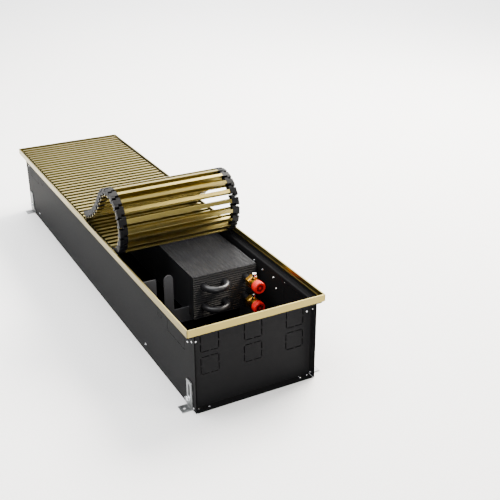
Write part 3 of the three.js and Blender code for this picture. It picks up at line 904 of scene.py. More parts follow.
@dataclass
class Casing:
    """The trough: folded side panels, end plates, bottom and brackets."""

    sheet: float = 1.2
    bend: float = 1.7
    wall_y: float = 139.2
    half_length: float = 619.6
    shelf_z: float = 179.1
    upstand_y: float = 152.5
    upstand_x: float = 621.1
    upstand_top: float = 187.0
    plate_x: float = 600.7
    flange_y: float = 137.7
    foot_x: float = 592.0
    bolt_z: float = 24.0
    bracket: float = 1.5
    bracket_x: tuple = (("near", 348.0), ("far", -520.0))
    window: tuple = (-100, 100, 12.5, 50)
    window_corner: float = 4.0
    bolt_hole: float = 3.3
    hatch: tuple = (488, 574, 127, 170)
    hatch_corner: float = 2.0
    hatch_cut: Perforation = Perforation(20, 3, 0.9)
    port_x: float = 446.0
    port_z: float = 149.6
    port_radius: float = 13.0
    port_cut: Perforation = Perforation(17, 3, 0.9)
    square: float = 40.0
    square_columns: tuple = (-98.0, 0.0, 98.0)
    square_rows: tuple = (96.3, 148.3)
    square_cut: Perforation = Perforation(16, 4, 2.6)
    mitre: float = 0.8

    def build(self) -> None:
        """Makes all pieces of the casing."""
        for side, name in ((-1, "left"), (1, "right")):
            self.side_panel(side, name)
        for end, name in ((1, "near"), (-1, "far")):
            self.end_plate(end, name)
        self.brackets()
        # the bottom panel gets the coat painted darker as shade in the depth of the trough
        bottom = frame["nodes"]["bottom_panel"]
        bottom.data.materials.clear()
        bottom.data.materials.append(material(BOTTOM_SHADE_BLACK))

    def side_panel(self, side: int, name: str) -> None:
        """Folds one long side, with its knock-outs and bolt holes.

        Args:
            side: -1 for the left, 1 for the right.
            name: Its name.
        """
        sheet = Sheet(self.sheet)
        wall = Plane(Vector((0, side * self.wall_y, 0)), X, Z)
        holes = [circle((x, self.bolt_z), self.bolt_hole) for x in (-self.foot_x, self.foot_x)]
        x0, x1, low, high = self.hatch
        for one, two in ((x0, x1), (-x1, -x0)):
            hatch = rounded(box_outline(one, two, low, high), self.hatch_corner)
            holes += perforated(hatch, self.hatch_cut)
        for x in (self.port_x, -self.port_x):
            holes += perforated(circle((x, self.port_z), self.port_radius), self.port_cut)
        top = self.shelf_z - self.bend
        sheet.face(wall, box_outline(-self.half_length, self.half_length, 0, top), holes)
        run = self.upstand_y - self.wall_y - 2 * self.bend
        rise = self.upstand_top - self.shelf_z - self.bend
        start, end = wall.at(-self.half_length, top), wall.at(self.half_length, top)
        sheet.fold(start, end, Z, Y * side, [Bend(self.bend), Flat(run), Bend(self.bend, -90), Flat(rise)])
        # the cut edges are painted near black as shade
        piece = sheet.build(f"side_panel_{name}_folded", POWDER_BLACK, edge=CUT_EDGE_SHADE)
        nodes = f"side_panel_{name}", f"frame_carrier_{name}"
        place_on(piece, "casing", POWDER_BLACK, *nodes)

    def end_plate(self, end: int, name: str) -> None:
        """Folds one end pan with its six square knock-outs.

        Args:
            end: 1 for the near end, -1 for the far one.
            name: Its name.
        """
        sheet = Sheet(self.sheet)
        wall = Plane(Vector((end * self.plate_x, 0, 0)), Y, Z)
        y1, z0, z1 = self.flange_y - self.bend, self.sheet / 2 + self.bend, self.shelf_z - self.bend
        half = self.square / 2
        holes = []
        for y in self.square_columns:
            for z in self.square_rows:
                square = box_outline(y - half, y + half, z - half, z + half)
                holes += perforated(square, self.square_cut)
        sheet.face(wall, box_outline(-y1, y1, z0, z1), holes)
        outwards = X * end
        reach = self.half_length - self.plate_x - self.bend
        for side in (-1, 1):
            low, high = wall.at(side * y1, z0), wall.at(side * y1, z1)
            sheet.fold(low, high, Y * side, outwards, [Bend(self.bend), Flat(reach, taper=-self.mitre)])
        low, high = wall.at(-y1, z0), wall.at(y1, z0)
        sheet.fold(low, high, -Z, outwards, [Bend(self.bend), Flat(reach)])
        low, high = wall.at(-y1, z1), wall.at(y1, z1)
        run = self.upstand_x - self.plate_x - 2 * self.bend
        rise = self.upstand_top - self.shelf_z - self.bend
        steps = [Bend(self.bend), Flat(run), Bend(self.bend, -90), Flat(rise)]
        sheet.fold(low, high, Z, outwards, steps)
        # the cut edges are painted near black as shade
        piece = sheet.build(f"end_plate_{name}_folded", POWDER_BLACK, edge=CUT_EDGE_SHADE)
        place_on(piece, "casing", POWDER_BLACK, f"end_plate_{name}", f"frame_carrier_{name}")

    def brackets(self) -> None:
        """Makes the two cross brackets with their round-topped posts."""
        # the foot, the seat under the exchanger, the round-topped post and the tall tongue at the wall
        outline = [
            (-138.3, 1.5), (138.3, 1.5), (138.3, 87), (130.3, 87), (130.3, 64.7), (-29.3, 64.7),
            (-29.3, 87), (-66, 87), *arc((-77, 166), 11, 0, 180, 16), (-88, 60), (-106, 60),
            *arc((-110, 170), 4, 0, 90, 6), (-138.3, 174),
        ]
        window = rounded(box_outline(*self.window), self.window_corner)
        for name, x in self.bracket_x:
            bm = bmesh.new()
            add_plate(bm, Plane(Vector((x, 0, 0)), Y, Z), outline, self.bracket, [window])
            # the brackets' lighter grey is painted light
            piece = new_object(f"bracket_{name}_plate", bm, BRACKET_LIT_GREY)
            place_on(piece, "casing", BRACKET_LIT_GREY, f"bracket_{name}")


# ---- trim frame ---------------------------------------------------------------------


@dataclass
class TrimFrame:
    """Four mitred rails with a hook inside."""

    half_length: float = 625.0
    half_width: float = 156.4
    low: float = 184.0
    top: float = 200.0
    wall: float = 3.0
    hook: float = 1.8
    hook_z: tuple = (187.3, 189.3)
    edge: float = 0.7
    side_gap: float = 0.5
    end_gap: float = 1.5

    def section(self) -> list[Point]:
        """Draws the rail's section.

        Returns:
            Its outline as (distance in, height).
        """
        low, high = self.hook_z
        corners = [
            (0, self.low), (self.wall, self.low), (self.wall, low), (self.wall + self.hook, low),
            (self.wall + self.hook, high), (self.wall, high), (self.wall, self.top), (0, self.top),
        ]
        return rounded(corners, self.edge, 3)

    def build(self) -> None:
        """Makes the four rails."""
        section = self.section()
        rails = (("left", True, -1), ("right", True, 1), ("near", False, 1), ("far", False, -1))
        for name, lengthwise, sign in rails:
            rings = [self.mitre(section, lengthwise, sign, end) for end in (1, -1)]
            self.rail(name, rings, section, CHAMPAGNE_LONG if lengthwise else CHAMPAGNE_CROSS)

    def mitre(self, section: Sequence[Point], lengthwise: bool, sign: int, end: int) -> list[Vector]:
        """Sets the section at one mitred end of a rail.

        Args:
            section: The section as (distance in, height).
            lengthwise: Whether the rail runs along X.
            sign: Side of the frame that the rail is on.
            end: Which of its ends, 1 or -1.

        Returns:
            The ring of the end.
        """
        ring = []
        for d, z in section:
            length, width = self.half_length - d, self.half_width - d
            if lengthwise:
                ring.append(Vector((end * (length - self.side_gap), sign * width, z)))
            else:
                ring.append(Vector((sign * length, end * (width - self.end_gap), z)))
        return ring

    def rail(
        self, name: str, rings: Sequence[Sequence[Vector]], section: Sequence[Point], finish: Finish
    ) -> None:
        """Makes one rail between its mitred ends.

        Args:
            name: Side that it lies on.
            rings: Its two end rings.
            section: Its section laid flat.
            finish: Its finish.
        """
        bm = bmesh.new()
        add_prism(bm, rings[0], rings[1], section)
        piece = new_object(f"frame_rail_{name}_extrusion", bm, finish)
        place_on(piece, "casing", finish, f"frame_rail_{name}")


# ---- roll-up grille -----------------------------------------------------------------


@dataclass
class Grille:
    """Double-T slats on spring rods, with black links at both ends."""

    pitch: float = 20.2
    first_x: float = -606.0
    flat: int = 40
    width: float = 9.0
    height: float = 18.0
    flange: float = 2.0
    web: float = 2.4
    half_length: float = 148.0
    top: float = 198.0
    hinge_z: float = 194.0
    link_low: float = 131.0
    link_high: float = 150.0
    link_split: float = 140.5
    rod_y: float = 127.5
    rod_radius: float = 2.2
    fillet: float = 0.6
    edge: float = 0.55
    notch_gap: float = 0.1
    pin_radius: float = 1.5

    def slat(self, name: str, x: float, top: float, notched: bool = False) -> bpy.types.Object:
        """Makes one slat about x.

        Args:
            name: Name of the part.
            x: Middle of the slat.
            top: Height of its top face.
            notched: Whether its lower part stops short for the links.

        Returns:
            The slat.
        """
        half, web, low = self.width / 2, self.web / 2, top - self.height
        neck, root = top - self.flange - self.fillet, low + self.flange
        lower = [
            (-half, low), (half, low), (half, root), (web, root + self.fillet), (web, neck), (-web, neck),
            (-web, root + self.fillet), (-half, root),
        ]
        upper = [
            (-web, neck), (web, neck), (half, top - self.flange), (half, top), (-half, top),
            (-half, top - self.flange),
        ]
        whole = [*lower[:5], *upper[2:], *lower[5:]]
        shapes = [(whole, self.half_length)]
        if notched:
            shapes = [(lower, self.link_low - self.notch_gap), (upper, self.half_length)]
        bm = bmesh.new()
        for shape, reach in shapes:
            section = rounded([(x + u, v) for u, v in shape], self.edge, 3)
            rings = [[Vector((u, y, v)) for u, v in section] for y in (-reach, reach)]
            add_prism(bm, rings[0], rings[1], section)
        return new_object(name, bm, None)

    def spacer(self, side: int) -> bpy.types.Object:
        """Makes the black spacer between two flat slats, with its end knuckle.

        Args:
            side: -1 for the left, 1 for the right.

        Returns:
            The spacer.
        """
        bm = bmesh.new()
        low, gap, half = self.top - self.height, self.pitch - self.width - 0.6, self.pitch / 2 - 0.4
        block = rounded(box_outline(-gap / 2, gap / 2, low + 0.2, low + 12), 1.2)
        at = Plane(Vector((self.pitch / 2, side * self.link_low, 0)), X, Z)
        add_plate(bm, at, block, -side * (self.link_high - 2 - self.link_low))
        knuckle = rounded(box_outline(-half, half, low + 1, low + 11), 2.4)
        at = Plane(Vector((self.pitch / 2, side * (self.half_length + 0.3), 0)), X, Z)
        add_plate(bm, at, knuckle, -side * 1.9)
        return new_object(f"spacer_{side}", bm, None)

    def link(self, first: bool, last: bool) -> bpy.types.Object:
        """Makes the two links of a rolled slat about its own hinge.

        Args:
            first: Whether it has the lug on the hinge before it.
            last: Whether it has the lug on the hinge after it.

        Returns:
            The part, with both sides.
        """
        bm = bmesh.new()
        body = rounded(box_outline(3.5, self.pitch - 3.5, -14, -2), 1.3)
        knob = rounded(box_outline(6.2, self.pitch - 6.2, -11.6, -4.6), 1.0)
        corners = [(-1.9, -12.6), (-0.9, -13.6), (9, -13.6), (9, -2.4), (5.2, -2.1)]
        lug = [*arc((0, 0), 3.2, 60, 180, 9), *corners]
        turned = [(self.pitch - u, v) for u, v in lug][::-1]
        low, split, high = self.link_low, self.link_split, self.link_high
        plates = [(low, body, high - 0.5 - low), (high - 0.6, knob, 0.6)]
        plates += [(split + 0.15, lug, high - 0.4 - split)] * first
        plates += [(low + 0.1, turned, split - 0.35 - low)] * last
        for side in (-1, 1):
            for y, outline, depth in plates:
                add_plate(bm, Plane(Vector((0, side * y, 0)), X, Z), outline, -side * depth)
        return new_object(f"link_{first}_{last}", bm, None)

    def pin(self) -> bpy.types.Object:
        """Makes the two steel pin heads of a hinge.

        Returns:
            The part, with both sides.
        """
        bm = bmesh.new()
        rings = [(0, 0), (0, self.pin_radius), (0.3, self.pin_radius), (0.5, self.pin_radius - 0.4), (0.5, 0)]
        for side, u, v in ((-1, X, Z), (1, Z, X)):
            add_lathe(bm, Plane(Vector((0, side * (self.link_high - 0.52), 0)), u, v), rings, 16)
        return new_object("pin", bm, None)

    def build(self) -> None:
        """Makes the flat part and each rolled slat."""
        row = row_recipe()
        slat = self.slat("slat_part", 0, 0)
        start = Vector((self.first_x, 0, self.top)) * MM
        line = {"Count": self.flat, "Step": Vector((self.pitch, 0, 0)) * MM}
        piece = row.run("grille_flat_row", CHAMPAGNE_CROSS, Part=slat, Start=start, **line)
        place_on(piece, "casing", CHAMPAGNE_CROSS, "grille_flat_slats")
        start = Vector((self.first_x, 0, 0)) * MM
        for side, name in ((-1, "left"), (1, "right")):
            spacer = self.spacer(side)
            piece = row.run(f"grille_spacers_{name}", NYLON, Part=spacer, Start=start, **line)
            place_on(piece, "casing", NYLON, f"grille_links_{name}")
            self.rod(side, name)
            discard(spacer)
        discard(slat)
        self.roll()

    def rod(self, side: int, name: str) -> None:
        """Makes one spring rod through the flat slats' webs.

        Args:
            side: -1 for the left, 1 for the right.
            name: Its name.
        """
        path = bmesh.new()
        z = self.top - self.height / 2
        last = self.first_x + self.pitch * (self.flat - 1)
        ends = [path.verts.new((x, side * self.rod_y, z)) for x in (self.first_x, last)]
        path.edges.new(ends)
        size = {"Radius": self.rod_radius * MM, "Sides": 16}
        piece = tube_recipe().run(f"grille_rod_{name}", BURNISHED, path, **size)
        place_on(piece, "casing", BURNISHED)

    def roll(self) -> None:
        """Makes the rolled slats, each on its own body."""
        turn = turn_recipe()
        hinges = [Vector(j["pos_m"]) for j in frame["joints"] if j["name"].startswith("grille_hinge")]
        count = len(hinges)
        slat = self.slat("slat_part", self.pitch / 2, self.top - self.hinge_z, notched=True)
        links = {last: self.link(True, last) for last in (True, False)}
        pin = self.pin()
        headings = [math.atan2(b.z - a.z, b.x - a.x) for a, b in zip(hinges, hinges[1:])]
        headings.append(2 * headings[-1] - headings[-2])
        for i, (hinge, heading) in enumerate(zip(hinges, headings)):
            number, body = f"{i + 1:02d}", f"slat_{i + 1:02d}"
            place = {"Hinge": hinge, "Heading": heading}
            piece = turn.run(f"rolled_slat_{number}_profile", CHAMPAGNE_CROSS, Part=slat, **place)
            place_on(piece, body, CHAMPAGNE_CROSS, f"rolled_slat_{number}")
            piece = turn.run(f"rolled_links_{number}", NYLON, Part=links[i + 1 < count], **place)
            place_on(piece, body, NYLON)
            piece = turn.run(f"hinge_pins_{number}", BURNISHED, Part=pin, **place)
            place_on(piece, body, BURNISHED)
        discard(slat, pin, *links.values())


# ---- heat exchanger -----------------------------------------------------------------


@dataclass
class Exchanger:
    """Wavy fins between two side plates and two corrugated end sheets, with the water tube."""

    near: float = 376.0
    far: float = -550.0
    left: float = -29.0
    right: float = 130.0
    low: float = 65.0
    top: float = 170.0
    fin_pitch: float = 4.0
    fin: float = 0.8
    wave_length: float = 11.0
    wave_height: float = 1.0
    ridge: float = 5.5
    tube: float = 7.5
    columns: tuple = (-3.0, 49.5, 102.0)
    rows: tuple = (93.5, 144.5)
    lead: float = 6.0
    stub: float = 24.0
    tube_sides: int = 32
    bend_steps: int = 20
    side: float = 1.5
    side_inset: float = 2.3
    side_edge: float = 0.4
    sheet: float = 0.5
    sheet_inset: float = 1.0
    ridge_steps: int = 8
    ridge_depth: float = 0.75
    fin_inset: float = 1.8
    fin_end: float = 5.0
    fin_steps: int = 70

    def build(self) -> None:
        """Makes all pieces of the exchanger."""
        self.fins()
        x0, x1 = self.far + self.side_inset, self.near - self.side_inset
        for name, y in (("left", self.left), ("right", self.right - self.side)):
            bm = bmesh.new()
            outline = rounded(box_outline(x0, x1, self.low, self.top), 1.5)
            add_plate(bm, Plane(Vector((0, y + self.side, 0)), X, Z), outline, self.side)
            bevel_edges(bm, self.side_edge)
            piece = new_object(f"exchanger_side_{name}_plate", bm, TUBE_BLACK)
            place_on(piece, "casing", TUBE_BLACK, f"exchanger_side_{name}")
        for name, x in (("near", self.near - self.sheet_inset), ("far", self.far + self.sheet_inset)):
            self.end_sheet(name, x)
            self.collars(name, x)
        self.water_tube()

    def fins(self) -> None:
        """Makes the pack of wavy fins."""
        blank = bmesh.new()
        y0, y1 = self.left + self.fin_inset, self.right - self.fin_inset
        stations = [y0 + (y1 - y0) * i / self.fin_steps for i in range(self.fin_steps + 1)]
        for w in (0.0, self.fin):
            rows = [[blank.verts.new((w, y, z)) for z in (self.low, self.top)] for y in stations]
            for one, two in zip(rows, rows[1:]):
                blank.faces.new([one[0], two[0], two[1], one[1]])
        edges = [e for e in blank.edges if e.is_boundary]
        bmesh.ops.bridge_loops(blank, edges=edges)
        count = int((self.near - self.far - 2 * self.fin_end) / self.fin_pitch) + 1
        start, step = Vector((self.far + self.fin_end, 0, 0)) * MM, Vector((self.fin_pitch, 0, 0)) * MM
        sizes = {"Wave_length": self.wave_length * MM, "Wave_height": self.wave_height * MM}
        sizes |= {"Count": count, "Start": start, "Step": step}
        # the fins' lighter grey is a painted highlight of their edges
        piece = fin_recipe().run("fin_pack_fins", FIN_LIT_BLACK, blank, **sizes)
        place_on(piece, "casing", FIN_LIT_BLACK, "fin_pack")

    def end_sheet(self, name: str, x: float) -> None:
        """Makes one end sheet with level ridges.

        Args:
            name: End that it closes.
            x: Its middle.
        """
        sheet = Sheet(self.sheet)
        steps = round((self.top - self.low) / self.ridge) * self.ridge_steps
        previous = None
        for i in range(steps + 1):
            z = self.low + (self.top - self.low) * i / steps
            # a cosine cut off on both sides: wide flat ridges with narrow valleys
            wave = 0.4 + 2.4 * math.cos(2 * math.pi * (z - self.low) / self.ridge)
            depth = self.ridge_depth * max(-1.0, min(1.0, wave))
            row = [sheet.bm.verts.new((x + depth, y, z)) for y in (self.left, self.right)]
            if previous:
                sheet.bm.faces.new([*previous, row[1], row[0]])
            previous = row
        piece = sheet.build(f"end_sheet_{name}_ridged", TUBE_BLACK, 60)
        place_on(piece, "casing", TUBE_BLACK, f"end_sheet_{name}")

    def collars(self, name: str, x: float) -> None:
        """Makes the collar round each tube where it leaves an end sheet.

        Args:
            name: End of the sheet.
            x: Middle of the sheet.
        """
        rings = [(-1.2, self.tube), (-1.2, 9.6), (0.8, 9.6), (1.1, 9.3), (1.1, self.tube)]
        bm = bmesh.new()
        for y in self.columns:
            for z in self.rows:
                add_lathe(bm, Plane(Vector((x, y, z)), Y, Z), rings, 32)
        place_on(new_object(f"tube_collars_{name}", bm, TUBE_BLACK), "casing", TUBE_BLACK)

    def water_tube(self) -> None:
        """Bends the serpentine tube through its six passes."""
        low, high = self.rows
        inner, middle, outer = self.columns
        upper = [(outer, high), (middle, high), (inner, high)]
        passes = [*upper, *[(y, low) for y, _ in reversed(upper)]]
        near, far = self.near + self.lead, self.far - self.lead
        start = self.near + self.stub
        spots: list[Vector] = []
        for i, (y, z) in enumerate(passes):
            outward = -1 if i % 2 == 0 else 1
            begin = start if i == 0 else (near if outward < 0 else far)
            end = start if i == len(passes) - 1 else (far if outward < 0 else near)
            spots += [Vector((begin, y, z)), Vector((end, y, z))]
            if i + 1 < len(passes):
                across = Vector((0, passes[i + 1][0] - y, passes[i + 1][1] - z))
                centre = Vector((end, y, z)) + across / 2
                radius = across.length / 2
                for k in range(1, self.bend_steps):
                    a = math.pi * k / self.bend_steps
                    bow = Vector((outward * radius * math.sin(a), 0, 0))
                    spots.append(centre - across / 2 * math.cos(a) + bow)
        path = bmesh.new()
        verts = [path.verts.new(s) for s in spots]
        for one, two in zip(verts, verts[1:]):
            path.edges.new([one, two])
        size = {"Radius": self.tube * MM, "Sides": self.tube_sides}
        piece = tube_recipe().run("water_tube_serpentine", TUBE_BLACK, path, **size)
        place_on(piece, "casing", TUBE_BLACK, "water_tube")


# ---- connection valves --------------------------------------------------------------


@dataclass
class Valves:
    """Two angle valves with a bleed screw on top and a red dust cap.

    The rings of each turned piece are (distance along its axis, radius).
    """

    y: float = 102.0
    rows: tuple = (("lower", 93.5), ("upper", 144.5))
    nut: float = 400.3
    body: float = 414.0
    collar: float = 424.0
    thread: float = 430.0
    port: float = 443.0
    cap: float = 14.2
    flats: float = 27.0
    vent: float = 419.0
    chamfer: float = 1.4
    thread_turns: int = 8
    thread_pitch: float = 1.35
    bore: float = 6.0
    boss_flats: float = 11.4
    ribs: int = 24
    rib: float = 0.4

    def build(self) -> None:
        """Makes both valves."""
        for level, z in self.rows:
            self.valve_body(level, z)
            self.vent_screw(level, z)
            self.dust_cap(level, z)

    def valve_body(self, level: str, z: float) -> None:
        """Turns the brass body with its union nut, thread and boss.

        Args:
            level: Which of the two valves it is.
            z: Height of its pipe.
        """
        bm = bmesh.new()
        tip, full = hexagon(self.flats, self.flats / 2 - 0.4), hexagon(self.flats)
        rings: list[tuple[float, Radius]] = [
            (self.nut, 0), (self.nut, tip), (self.nut + self.chamfer, full), (self.body - self.chamfer, full),
            (self.body, tip), (self.body, 10.2), (self.body + 1.2, 10.2), (self.body + 2, 11),
            (self.collar - 0.4, 11), (self.collar, 11.6), (self.collar, 12.6), (self.collar + 0.5, 13),
            (self.thread - 0.5, 13), (self.thread, 12.5), (self.thread, 9.4),
        ]
        for i in range(self.thread_turns):
            x = self.thread + 0.8 + i * self.thread_pitch
            rings += [(x, 9.2), (x + 0.45, 10), (x + 0.8, 10), (x + 1.25, 9.2)]
        rings += [(self.port, 9.2), (self.port, self.bore), (self.collar, self.bore), (self.collar, 0)]
        add_lathe(bm, Plane(Vector((0, self.y, z)), Y, Z), rings, 72)
        flats, tip = hexagon(self.boss_flats), hexagon(self.boss_flats, 5.4)
        boss = [(0, 0), (0, 5.6), (11.5, 5.6), (12, flats), (16, flats), (16.8, tip), (17, 5.2), (17, 0)]
        add_lathe(bm, Plane(Vector((self.vent, self.y, z)), X, Y), boss, 48)
        piece = new_object(f"valve_body_{level}_turned", bm, BRASS)
        place_on(piece, "casing", BRASS, f"valve_body_{level}")

    def vent_screw(self, level: str, z: float) -> None:
        """Turns the slotted bleed screw.

        Args:
            level: Which of the two valves it is.
            z: Height of its pipe.
        """
        bm = bmesh.new()
        slot = bar(7.4, 1.3)
        rings: list[tuple[float, Radius]] = [
            (0, 0), (0, 4.3), (0.6, 4.9), (2.4, 4.9), (2.8, 4.2), (3.6, 4.2), (4.0, 5), (7.9, 5), (8.5, 4.4),
            (8.5, slot), (7.0, slot), (7.0, 0),
        ]
        add_lathe(bm, Plane(Vector((self.vent, self.y, z + 17.3)), X, Y), rings, 64)
        piece = new_object(f"vent_screw_{level}_turned", bm, NICKEL)
        place_on(piece, f"vent_screw_{level}", NICKEL, f"vent_screw_{level}")

    def dust_cap(self, level: str, z: float) -> None:
        """Moulds the red cap with its ribs and hexagon recess.

        Args:
            level: Which of the two valves it is.
            z: Height of its pipe.
        """

        def ribbed(angle: float) -> float:
            """Gives the radius of the ribbed skirt at one angle."""
            return full - self.rib + self.rib * math.cos(self.ribs * angle)

        x0, x1, full = self.thread + 0.3, self.thread + 16.8, self.cap
        smooth = full - self.rib
        rings: list[tuple[float, Radius]] = [
            (self.port + 0.3, 0), (self.port + 0.3, 10.3), (x0, 10.3), (x0, full - 1.2), (x0 + 0.5, smooth),
            (x0 + 2.2, smooth), (x0 + 2.8, ribbed), (x1 - 1.6, ribbed), (x1 - 0.5, full - 1.2),
            (x1, full - 2.2), (x1, full - 3.0), (x1 - 0.5, full - 3.4), (x1 - 0.5, hexagon(16.4)),
            (x1 - 2.9, hexagon(15.6)), (x1 - 2.9, 3.6), (x1 - 1.0, 3.0), (x1 - 1.0, 0),
        ]
        bm = bmesh.new()
        add_lathe(bm, Plane(Vector((0, self.y, z)), Y, Z), rings, 144)
        piece = new_object(f"dust_cap_{level}_moulded", bm, RED_CAP, 40)
        piece.data.materials.append(material(RED_RECESS_SHADE))
        # the recess inside the rim is the thin web; its faces get the darker red painted as shade
        for face in piece.data.polygons:
            depth = x1 - face.center.x / MM
            reach = math.hypot(face.center.y / MM - self.y, face.center.z / MM - z)
            if 0.6 < depth < 3.2 and 3.2 < reach < 9.2:
                face.material_index = 1
        place_on(piece, f"dust_cap_{level}", RED_CAP, f"dust_cap_{level}")


# ---- feet and fasteners -------------------------------------------------------------


@dataclass
class Feet:
    """Four slotted angle feet with their clamp bolts."""

    x: float = 592.0
    leg_y: float = 141.1
    thickness: float = 2.0
    half: float = 12.0
    height: float = 65.0
    bend: float = 2.0
    tab: float = 163.1
    bolt_z: float = 24.0
    slot: float = 3.3
    slot_ends: tuple = (23.7, 52.7)
    tab_hole: float = 3.5
    ear_hole: float = 1.6

    def build(self) -> None:
        """Makes the feet and bolts at all four corners."""
        for end_name, end in (("near", 1), ("far", -1)):
            for side_name, side in (("left", -1), ("right", 1)):
                name = f"{end_name}_{side_name}"
                self.foot(name, end, side)
                self.clamp_bolt(name, end, side)

    def foot(self, name: str, end: int, side: int) -> None:
        """Folds one foot with its slotted leg, its ear and its tab.

        Args:
            name: Corner that it stands at.
            end: 1 for the near end, -1 for the far one.
            side: -1 for the left, 1 for the right.
        """
        sheet = Sheet(self.thickness)
        leg = Plane(Vector((end * self.x, side * self.leg_y, 0)), X * end, Z)
        z0 = self.thickness / 2 + self.bend
        top = rounded(box_outline(-self.half, self.half, 20, self.height), 2.5)
        ear = self.half + 14
        outline = [
            (-self.half, z0), (self.half, z0), *[p for p in top if p[1] > 30], (-self.half, 14),
            (-ear + 2, 12.6), (-ear, 11), (-ear, 6), (-ear + 2, 4.6),
        ]
        low, high = self.slot_ends
        slot = [*arc((0, low), self.slot, 180, 360, 10), *arc((0, high), self.slot, 0, 180, 10)]
        sheet.face(leg, outline, [slot, circle((-self.half - 8, 8.6), self.ear_hole, 12)])
        hole = circle((self.half, 10.5), self.tab_hole)
        run = self.tab - self.leg_y - self.bend
        steps = [Bend(self.bend), Flat(run, (tuple(hole),))]
        sheet.fold(leg.at(-self.half, z0), leg.at(self.half, z0), -Z, Y * side, steps)
        piece = sheet.build(f"foot_{name}_bent", GALVANISED)
        place_on(piece, f"foot_{name}", GALVANISED, f"foot_{name}")

    def clamp_bolt(self, name: str, end: int, side: int) -> None:
        """Turns one clamp bolt with its washer.

        Args:
            name: Corner that it sits at.
            end: 1 for the near end, -1 for the far one.
            side: -1 for the left, 1 for the right.
        """
        bm = bmesh.new()
        u, v = (Z, X) if side > 0 else (X, Z)
        axis = Plane(Vector((end * self.x, 0, self.bolt_z)), u, v)
        rings: list[tuple[float, Radius]] = [
            (133.6, 0), (133.6, 2.4), (134.1, 2.9), (142.4, 2.9), (142.4, 6.2), (142.6, 6.5), (143.6, 6.5),
            (143.8, 6.2), (143.8, hexagon(10)), (147.0, hexagon(10)), (147.8, hexagon(10, 4.9)), (147.8, 0),
        ]
        add_lathe(bm, axis, rings, 48)
        piece = new_object(f"clamp_bolt_{name}_turned", bm, BRIGHT_ZINC)
        place_on(piece, "casing", BRIGHT_ZINC, f"clamp_bolt_{name}")


@dataclass
class Fasteners:
    """Blind rivets and cross-recess screws of the casing."""

    rivet_radius: float = 2.4
    screw_radius: float = 2.9
    wall_y: float = 139.8
    rivet_z: tuple = (7, 163)
    lip_screws: tuple = (-105.4, 110.4)
    bracket_screws: tuple = (352.8, -515.0)
    bracket_screw_z: float = 21.5
    inner_screws: tuple = ((353.0, 166.5), (392.6, 159.3), (-510, 161.3))

    def rivet(self) -> bpy.types.Object:
        """Makes a domed blind rivet with its sunk stem.

        Returns:
            The rivet, with its seat at the origin.
        """
        bm = bmesh.new()
        rings: list[tuple[float, Radius]] = [
            (-0.3, 0), (-0.3, self.rivet_radius), (0.1, self.rivet_radius), (0.5, 2.0), (0.8, 1.4),
            (0.85, 0.9), (0.5, 0.8), (0.5, 0),
        ]
        add_lathe(bm, Plane(Vector(), X, Y), rings, 20)
        return new_object("rivet", bm, None)

    def screw(self) -> bpy.types.Object:
        """Makes a pan-head screw with a cross recess.

        Returns:
            The screw, with its seat at the origin.
        """
        bm = bmesh.new()
        rings: list[tuple[float, Radius]] = [
            (-0.3, 0), (-0.3, self.screw_radius), (0.6, self.screw_radius), (1.2, 2.5), (1.5, 1.9),
            (1.5, cross(3.0, 0.7)), (0.7, cross(2.4, 0.5)), (0.7, 0),
        ]
        add_lathe(bm, Plane(Vector(), X, Y), rings, 32)
        return new_object("screw", bm, None)

    def places(self) -> dict[str, list[tuple[Vector, Vector]]]:
        """Gives the place and direction of each fastener.

        Returns:
            For each kind, its places in millimetres and the ways that its heads face.
        """
        rivets, screws = [], []
        for end in (1, -1):
            for side in (-1, 1):
                out = Y * side
                rivets += [(Vector((end * 608, side * self.wall_y, z)), out) for z in self.rivet_z]
                rivets += [(Vector((end * 608, side * 137.1, z)), -out) for z in self.rivet_z]
                rivets.append((Vector((end * 601.3, side * 128.4, 156)), X * end))
                rivets.append((Vector((end * 606, side * 129, 1.2)), Z))
                rivets.append((Vector((end * 589, side * self.wall_y, 153.5)), out))
            screws += [(Vector((end * 608.4, y, 1.2)), Z) for y in self.lip_screws]
        for x in self.bracket_screws:
            screws += [(Vector((x, side * self.wall_y, self.bracket_screw_z)), Y * side) for side in (-1, 1)]
        screws += [(Vector((x, 138.6, z)), -Y) for x, z in self.inner_screws]
        return {"rivets": rivets, "screws": screws}

    def build(self) -> None:
        """Sets every fastener on the casing."""
        recipe = scatter_recipe()
        parts = {"rivets": self.rivet(), "screws": self.screw()}
        for name, spots in self.places().items():
            blank = bmesh.new()
            layer = blank.verts.layers.float_vector.new("facing")
            for place, facing in spots:
                blank.verts.new(place)[layer] = facing
            piece = recipe.run(f"casing_{name}", BRIGHT_ZINC, blank, Part=parts[name])
            place_on(piece, "casing", BRIGHT_ZINC)
        discard(*parts.values())


# ---- studio -------------------------------------------------------------------------


@dataclass(frozen=True)
class Lamp:
    """One soft light.

    Attributes:
        name: Its name.
        at: Its place in metres.
        size: Its width and height in metres.
        power: Its power in watts.
        colour: Its sRGB colour.
        aim: Point that it shines at, in metres.
    """

    name: str
    at: tuple
    size: Point
    power: float
    colour: int = 0xFFFFFF
    aim: tuple = (0.1, 0.0, 0.1)


